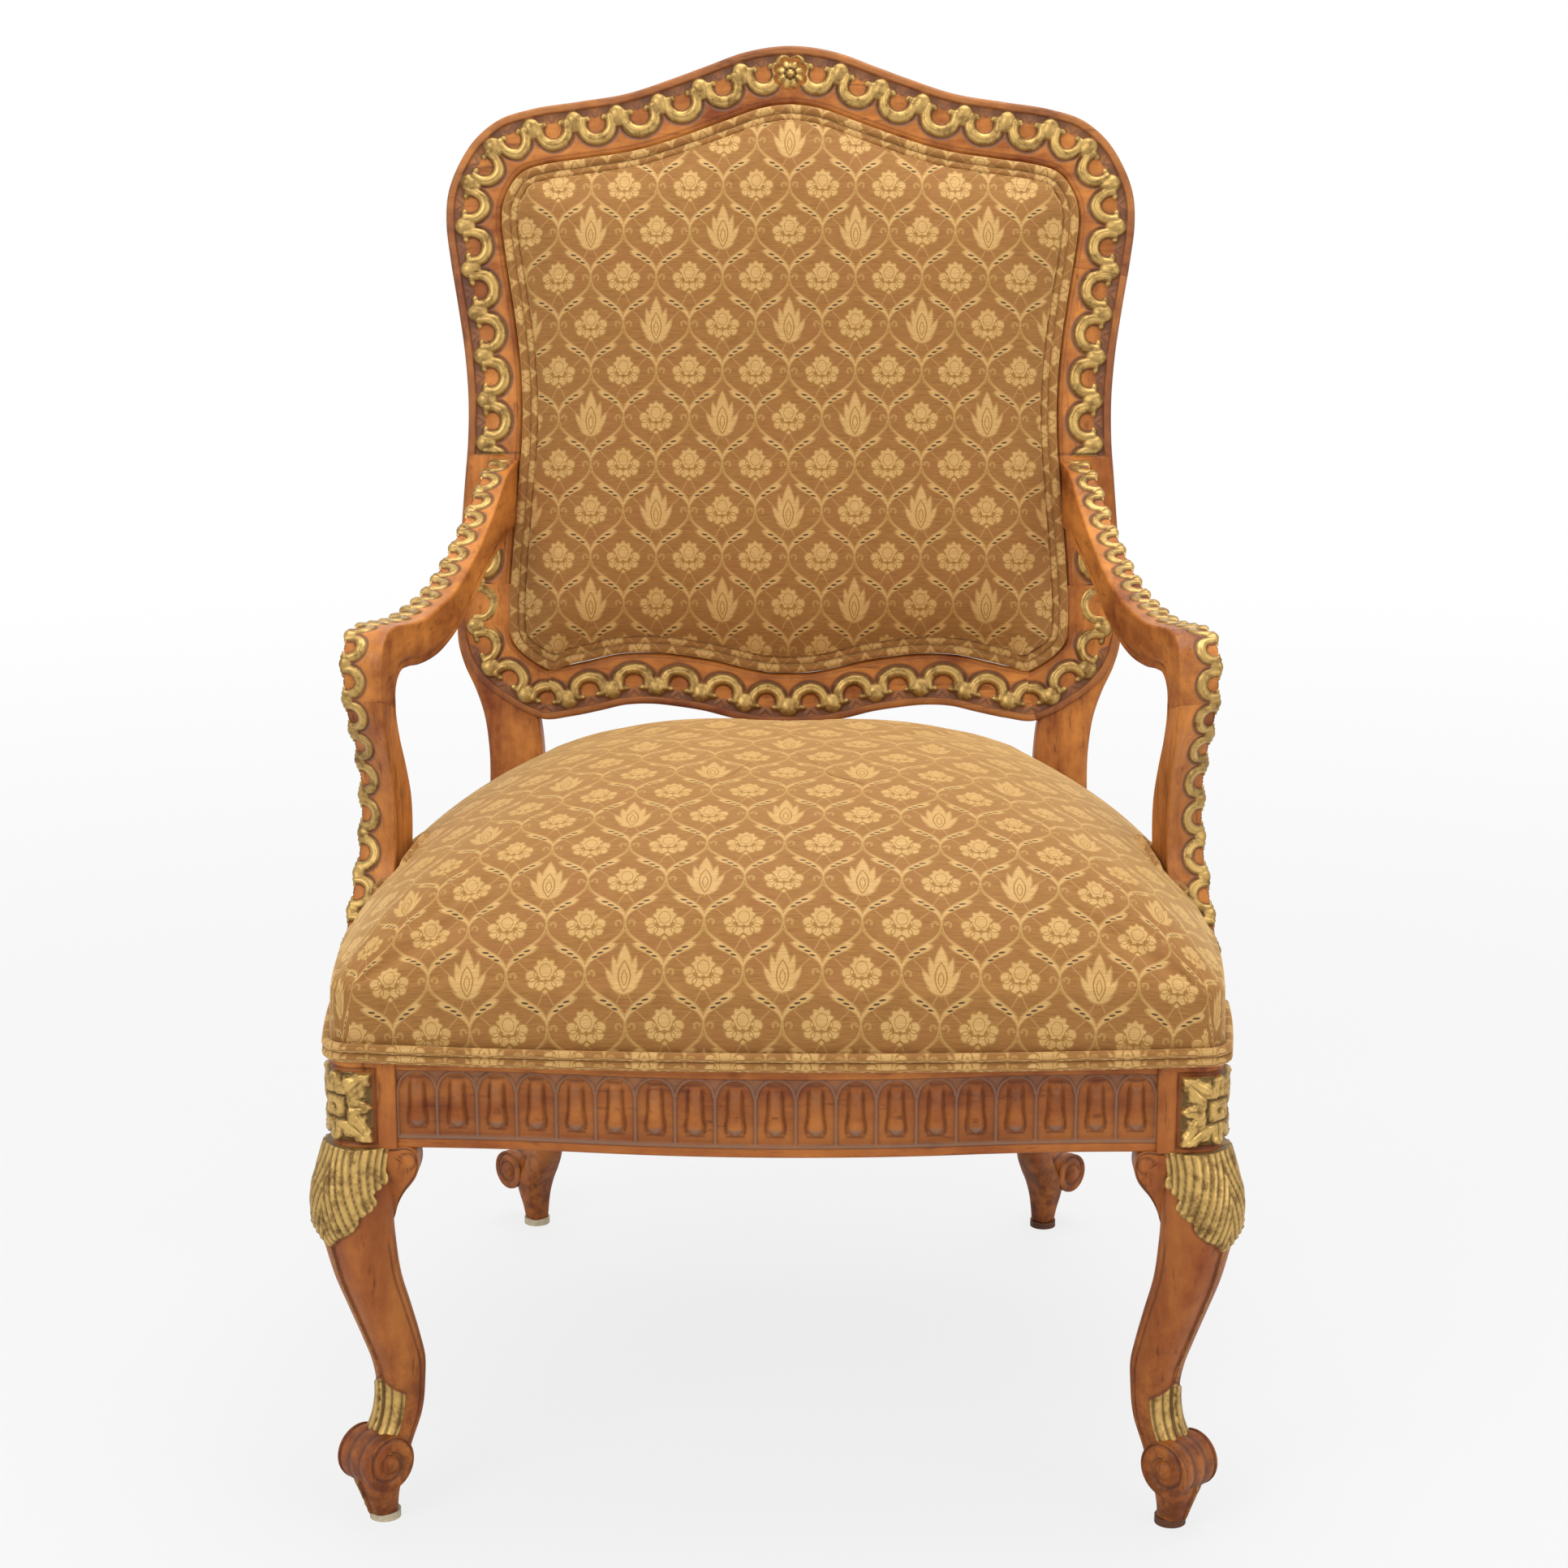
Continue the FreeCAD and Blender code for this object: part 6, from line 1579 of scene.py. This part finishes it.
def addBackPad():
    edge = padOutline(back["welt"] - 2.0)
    fine = padOutline(back["welt"] - 2.0, 500)
    centre = np.array([0, back["middle"]])
    stations = np.concatenate([[1.0, 0.996, 0.99, 0.98], np.linspace(0.965, 0, pad["rings"])])
    plan = centre + (edge - centre) * stations[:, None, None]
    plan = plan[:-1]
    flat = np.concatenate([plan.reshape(-1, 2), [centre]])
    # distance from the edge, smooth also where two sides are equally far
    away, soft = np.empty(len(flat)), np.empty(len(flat))
    spacing = lengthAlong(fine)[-1] / (len(fine) - 1)
    for start in range(0, len(flat), 4000):
        part = flat[start:start + 4000]
        squares = ((part[:, None] - fine[None]) ** 2).sum(-1)
        away[start:start + 4000] = np.sqrt(squares.min(axis=1))
        soft[start:start + 4000] = (2 / math.pi * spacing * (1 / np.maximum(squares, 4) ** 2).sum(-1)) ** (-1 / 3)
    share = ease(5, 12, away)
    level = away * (1 - share) + soft * share
    height = pad["crown"] * (1 - 0.78 * np.exp(-level / pad["slope"]) - 0.6 * np.clip(1 - away, 0, 1))
    low = np.exp(-np.maximum(flat[:, 1] - 60, 0) / 26)
    wave = np.sin(flat[:, 0] / 4.4 + 1.7 * np.sin(flat[:, 0] / 31))
    height = height + 0.9 * wave * low * ease(0, 9, away) * (1 - ease(18, 55, away))
    points = onBack(flat[:, 0], flat[:, 1], height)
    faces = cushionFaces(plan.shape[0], plan.shape[1], True)
    grown = swollen("backPad", points, faces, away < 6, pad["cap"], pad["pressure"])
    grown = points + calmer(flat, grown - points, pad["calmReach"], ease(8, 26, away))
    uv = flat - (pad["patternX"], pad["patternUp"])
    rings = grown[:-1].reshape(plan.shape[0], plan.shape[1], 3)
    mesh = cushionMesh("backPad", rings, grown[-1], uv[:-1].reshape(plan.shape), uv[-1], True)
    piece = addPiece("backPad", mesh, cloth, "damask", "back_cover_inside", "back_stuffing")


addBackPad()
print("back pad made", flush=True)


# Welts: cords in the same cloth

welt = {"radius": 3.6, "smallRadius": 3.0, "backRadius": 4.0, "columns": 12}


def cordSkin(path, outward, upward, radius, closed=False):
    # Tube along a path, with its map of the cloth
    turn = np.linspace(0, 2 * math.pi, welt["columns"], endpoint=False)
    ring = outward[:, None] * np.cos(turn)[None, :, None] + upward[:, None] * np.sin(turn)[None, :, None]
    points = path[:, None] + ring * radius
    run = lengthAlong(path)
    uv = np.stack([run[:, None] + 0 * turn, turn[None] * radius + 0 * run[:, None]], axis=-1)
    part = skin(points, loop=closed)
    return part[0], part[1], uv.reshape(-1, 2)


def cordMesh(name, cords):
    points, faces, uv = [], [], []
    count = 0
    for cord in cords:
        points.append(cord[0])
        faces += [[corner + count for corner in face] for face in cord[1]]
        uv.append(cord[2])
        count += len(cord[0])
    return meshFrom(name, np.concatenate(points), faces, None, np.concatenate(uv))


def freeRuns(keep):
    # Start and end of each unbroken run round a closed line
    start = int(np.argmin(keep))
    order = (np.arange(len(keep)) + start) % len(keep)
    runs, current = [], []
    for index in order:
        if keep[index]:
            current.append(index)
        elif current:
            runs.append(current)
            current = []
    return [run for run in runs + [current] if len(run) > 6]


def seatWelt():
    plan = seatPlan(-1.4)
    away = planNormals(plan)
    start, length, ahead, out = armPlane()
    mirrored = np.stack([np.abs(plan[:, 0]), plan[:, 1]], axis=1)
    reach = (mirrored - start) @ ahead
    behind, front = supportFootprint(np.full(len(plan), 384.0))
    atSupport = (reach > behind - 2) & (reach < front + 2) & (mirrored[:, 0] > 290)
    atPost = (mirrored[:, 0] > back["postInner"] - 2) & (mirrored[:, 1] > rearLeg["postFront"] - 2)
    cords = []
    for run in freeRuns(~(atSupport | atPost)):
        for level in (welt["radius"], 3 * welt["radius"]):
            path = np.concatenate([plan[run], np.full((len(run), 1), seat["foot"] + level)], axis=1)
            outward = np.concatenate([away[run], np.zeros((len(run), 1))], axis=1)
            cords.append(cordSkin(path, outward, np.tile([0.0, 0, 1.0], (len(run), 1)), welt["radius"]))
    addPiece("seatWelt", cordMesh("seatWelt", cords), cloth, "welt", "seat_welt")


def supportWelts():
    # Two cords on the seat round the rear, inner and front sides of each arm support
    start, length, ahead, out = armPlane()
    top = seatPlaces[(seatPlaces[:, 2] > seat["foot"] + 24) & (seatPlaces[:, 0] > 180) & (seatPlaces[:, 1] < -60)]
    cords = []
    for away in (3.2, 8.8):
        height = np.full(90, 450.0)
        for step in range(4):
            behind, front = supportFootprint(height)
            corners = [(-0.5, 20), (-0.5, -away), (0.5, -away), (0.5, 20)]
            side = evenly(np.array([(a * (60 + 2 * away), b) for a, b in corners], float), 90)
            reach = (behind + front) / 2 + side[:, 0] / (60 + 2 * away) * (front - behind + 2 * away)
            plan = start + ahead * reach[:, None] + out * side[:, 1:]
            nearest = ((plan[:, None] - top[None, :, :2]) ** 2).sum(-1)
            order = np.argsort(nearest, axis=1)[:, :6]
            height = top[order, 2].mean(axis=1)
            for smoothing in range(6):
                height[1:-1] = smoothed(height)
        path = np.concatenate([plan, height[:, None] + 1.2], axis=1)
        path = through(path[::6], 90)
        tangent = np.gradient(path, axis=0)
        outward = unit(np.cross(tangent, (0, 0, 1.0)))
        cords.append(cordSkin(path, outward, unit(np.cross(outward, tangent)), welt["smallRadius"]))
    bothSides("supportWelt", cordMesh("supportWelt", cords), cloth, "welt", [])


def backWelts():
    lean = back["lean"]
    forward = np.array([0, -math.cos(lean), math.sin(lean)])
    for name, node, distances, level in (
        ("backWeltInside", "back_welt_inside", (4.2, 12.0), 1.6),
        ("backWeltOutside", "back_welt_outside", (4.6,), -back["thickness"] + 0.4),
    ):
        cords = []
        for distance in distances:
            plan = padOutline(distance, 320)
            away = planNormals(plan)
            path = onBack(plan[:, 0], plan[:, 1], np.full(len(plan), level))
            outward = onBack(away[:, 0], away[:, 1], 0.0) - onBack(0.0, 0.0, 0.0)
            cords.append(cordSkin(path, outward, np.tile(forward, (len(plan), 1)), welt["backRadius"], True))
        addPiece(name, cordMesh(name, cords), cloth, "welt", node)


def backPanel():
    # Cloth stretched over the rear of the back, drawn in slightly between its edges
    edge = padOutline(1.0)
    centre = np.array([0, back["middle"]])
    stations = np.concatenate([[1.0, 0.985], np.linspace(0.965, 0.03, 24)])
    plan = centre + (edge - centre) * stations[:, None, None]
    depth = -back["thickness"] + 4.0 + 2.5 * (1 - stations ** 4)
    rings = onBack(plan[..., 0], plan[..., 1], depth[:, None] + 0 * plan[..., 0])
    rings, maps = finer(rings), finer(plan)
    faces = cushionFaces(rings.shape[0], rings.shape[1], False)
    pole = onBack(0.0, back["middle"], -back["thickness"] + 6.5)
    points = np.concatenate([rings.reshape(-1, 3), [pole]])
    uv = np.concatenate([maps.reshape(-1, 2), [centre]]) - (0, pad["patternUp"])
    uv[:, 0] *= -1
    mesh = meshFrom("backPanel", points, faces, None, uv)
    addPiece("backPanel", mesh, cloth, "outside_cover", "back_cover_outside")


dust = {"front": -326, "rear": 222, "top": 307.3, "sag": 5.0, "bow": 14, "flat": (0.646, 0.562)}


def dustCover():
    # Thin black cloth tacked under the rails, sagging a little
    across = np.linspace(-1, 1, 61)
    table = np.array([
        (-326, 258), (-300, 258), (-263, 258), (-262.5, 305), (-200, 317), (-120, 323), (-46, 318), (40, 305),
        (120, 284), (188, 257), (188.5, 209), (222, 209),
    ], float)
    y = np.concatenate([np.linspace(-326, -263, 8), np.linspace(-262.5, 188, 46), np.linspace(188.5, 222, 5)])
    half = np.interp(y, table[:, 0], table[:, 1])
    x = across[None, :] * half[:, None]
    bow = dust["bow"] * (1 - (x / rail["half"]) ** 2) * ease(-150, dust["front"], y)[:, None]
    inward = np.minimum(1 - np.abs(across)[None, :], np.minimum(y - dust["front"], dust["rear"] - y)[:, None] / 270)
    z = dust["top"] - dust["sag"] * ease(0, 0.5, inward) - 0.5 * hashNoise(x / 40, y[:, None] / 40, 5)
    points = np.stack([x, y[:, None] - bow, z], axis=-1)
    rows, columns = x.shape
    faces = quads(rows, columns, False, True)
    mesh = meshFrom("dustSheet", points.reshape(-1, 3), faces)
    piece = addPiece("dustSheet", mesh, cambric, "dust_cloth", "dust_cover")


seatWelt()
supportWelts()
backWelts()
backPanel()
dustCover()
print("welts and covers made", flush=True)


# Pieces kept from the construction model, in their own finishes

kept = {
    "beech": beech, "webbing": jute, "hessian": jute, "stuffing": filling, "steel": bright, "blued_steel": blued,
    "carved_wood": upright, "dust_cloth": cambric, "damask": cloth, "outside_cover": cloth, "welt": cloth,
}


def finishKept():
    for piece in bpy.data.objects:
        if piece.type != "MESH":
            continue
        for place in piece.material_slots:
            key = place.material.name.split(".")[0] if place.material else ""
            if key in kept:
                place.material = kept[key]
            elif key == "glide":
                place.material = paleGlide if piece.name.endswith("left") else darkGlide


finishKept()
print("kept pieces finished", flush=True)


# Camera, light and floor

view = {
    "azimuth": math.radians(1.0), "pitch": math.radians(13.2), "distance": 2533.0, "height": 1100.0,
    "shiftY": 3.0, "focal": 72.02, "sensor": 36,
}
# lamps in metres and watts: name, place, side of the square, power
studio = {
    "floorHalf": 9.0, "skyStrength": 0.6, "aim": (0, 0, 0.6),
    "lamps": [
        ("keyLamp", (-1.7, -2.6, 2.5), 1.5, 42),
        ("fillLamp", (2.3, -2.3, 1.5), 1.8, 22),
        ("topLamp", (0.2, 0.2, 2.9), 1.8, 50),
    ],
}


def addCamera():
    data = bpy.data.cameras.new("camera")
    data.lens = view["focal"]
    data.sensor_width = view["sensor"]
    camera = bpy.data.objects.new("camera", data)
    bpy.context.scene.collection.objects.link(camera)
    turn, fall = view["azimuth"], view["pitch"]
    x = view["distance"] * math.sin(turn)
    y = view["shiftY"] - view["distance"] * math.cos(turn)
    camera.location = (x * milli, y * milli, view["height"] * milli)
    camera.rotation_euler = (math.pi / 2 - fall, 0, turn)
    bpy.context.scene.camera = camera


def addLamp(name, place, size, power):
    data = bpy.data.lights.new(name, "AREA")
    data.shape = "RECTANGLE"
    data.size = data.size_y = size
    data.energy = power
    lamp = bpy.data.objects.new(name, data)
    bpy.context.scene.collection.objects.link(lamp)
    lamp.location = place
    aim = np.array(studio["aim"]) - np.array(place)
    lamp.rotation_euler = (
        math.atan2(math.hypot(aim[0], aim[1]), -aim[2]), 0, math.atan2(aim[1], aim[0]) - math.pi / 2,
    )


def addFloor():
    # Pale floor that keeps the shadow near the chair and fades to white further away, for the camera alone
    p = Paint("paleFloor")
    rays = p.node("LightPath")
    place = p.node("SeparateXYZ", None, {0: p.place()})
    far = p.away(p.term(place, 0), p.term(place, 1))
    seen = p.term(rays, 0)
    grain = p.noise(p.place(), 4)
    pale = p.blend(grain, (0.8, 0.8, 0.8, 1), (0.84, 0.84, 0.84, 1))
    lit = p.node("BsdfPrincipled", None, {"Base Color": pale, "Roughness": 0.9, "Specular IOR Level": 0.1})
    glow = p.node("Emission", None, {"Color": p.blend(p.ease(0.6, 4.5, far), (0.925, 0.925, 0.925, 1), (1, 1, 1, 1))})
    p.show(p.either(seen * (0.86 + 0.14 * p.ease(0.5, 2.0, far)), lit, glow), "OutputMaterial")
    half = studio["floorHalf"]
    mesh = bpy.data.meshes.new("floor")
    mesh.from_pydata([(-half, -half, 0), (half, -half, 0), (half, half, 0), (-half, half, 0)], [], [(0, 1, 2, 3)])
    floor = bpy.data.objects.new("floor", mesh)
    bpy.context.scene.collection.objects.link(floor)
    mesh.materials.append(p.material)


def addSky():
    # A softer light than the white that the camera and reflections see
    p = Paint("studio", bpy.data.worlds)
    bpy.context.scene.world = p.material
    rays = p.node("LightPath")
    seen = p.high(p.term(rays, "Is Camera Ray"), p.term(rays, "Is Glossy Ray"))
    white = (1, 1, 1, 1)
    soft = p.node("Background", None, {"Color": white, "Strength": studio["skyStrength"]})
    full = p.node("Background", None, {"Color": white, "Strength": 1})
    p.show(p.either(seen, soft, full), "OutputWorld")


addCamera()
for name, place, size, power in studio["lamps"]:
    addLamp(name, place, size, power)
addFloor()
addSky()
bpy.context.scene.view_settings.view_transform = "Standard"
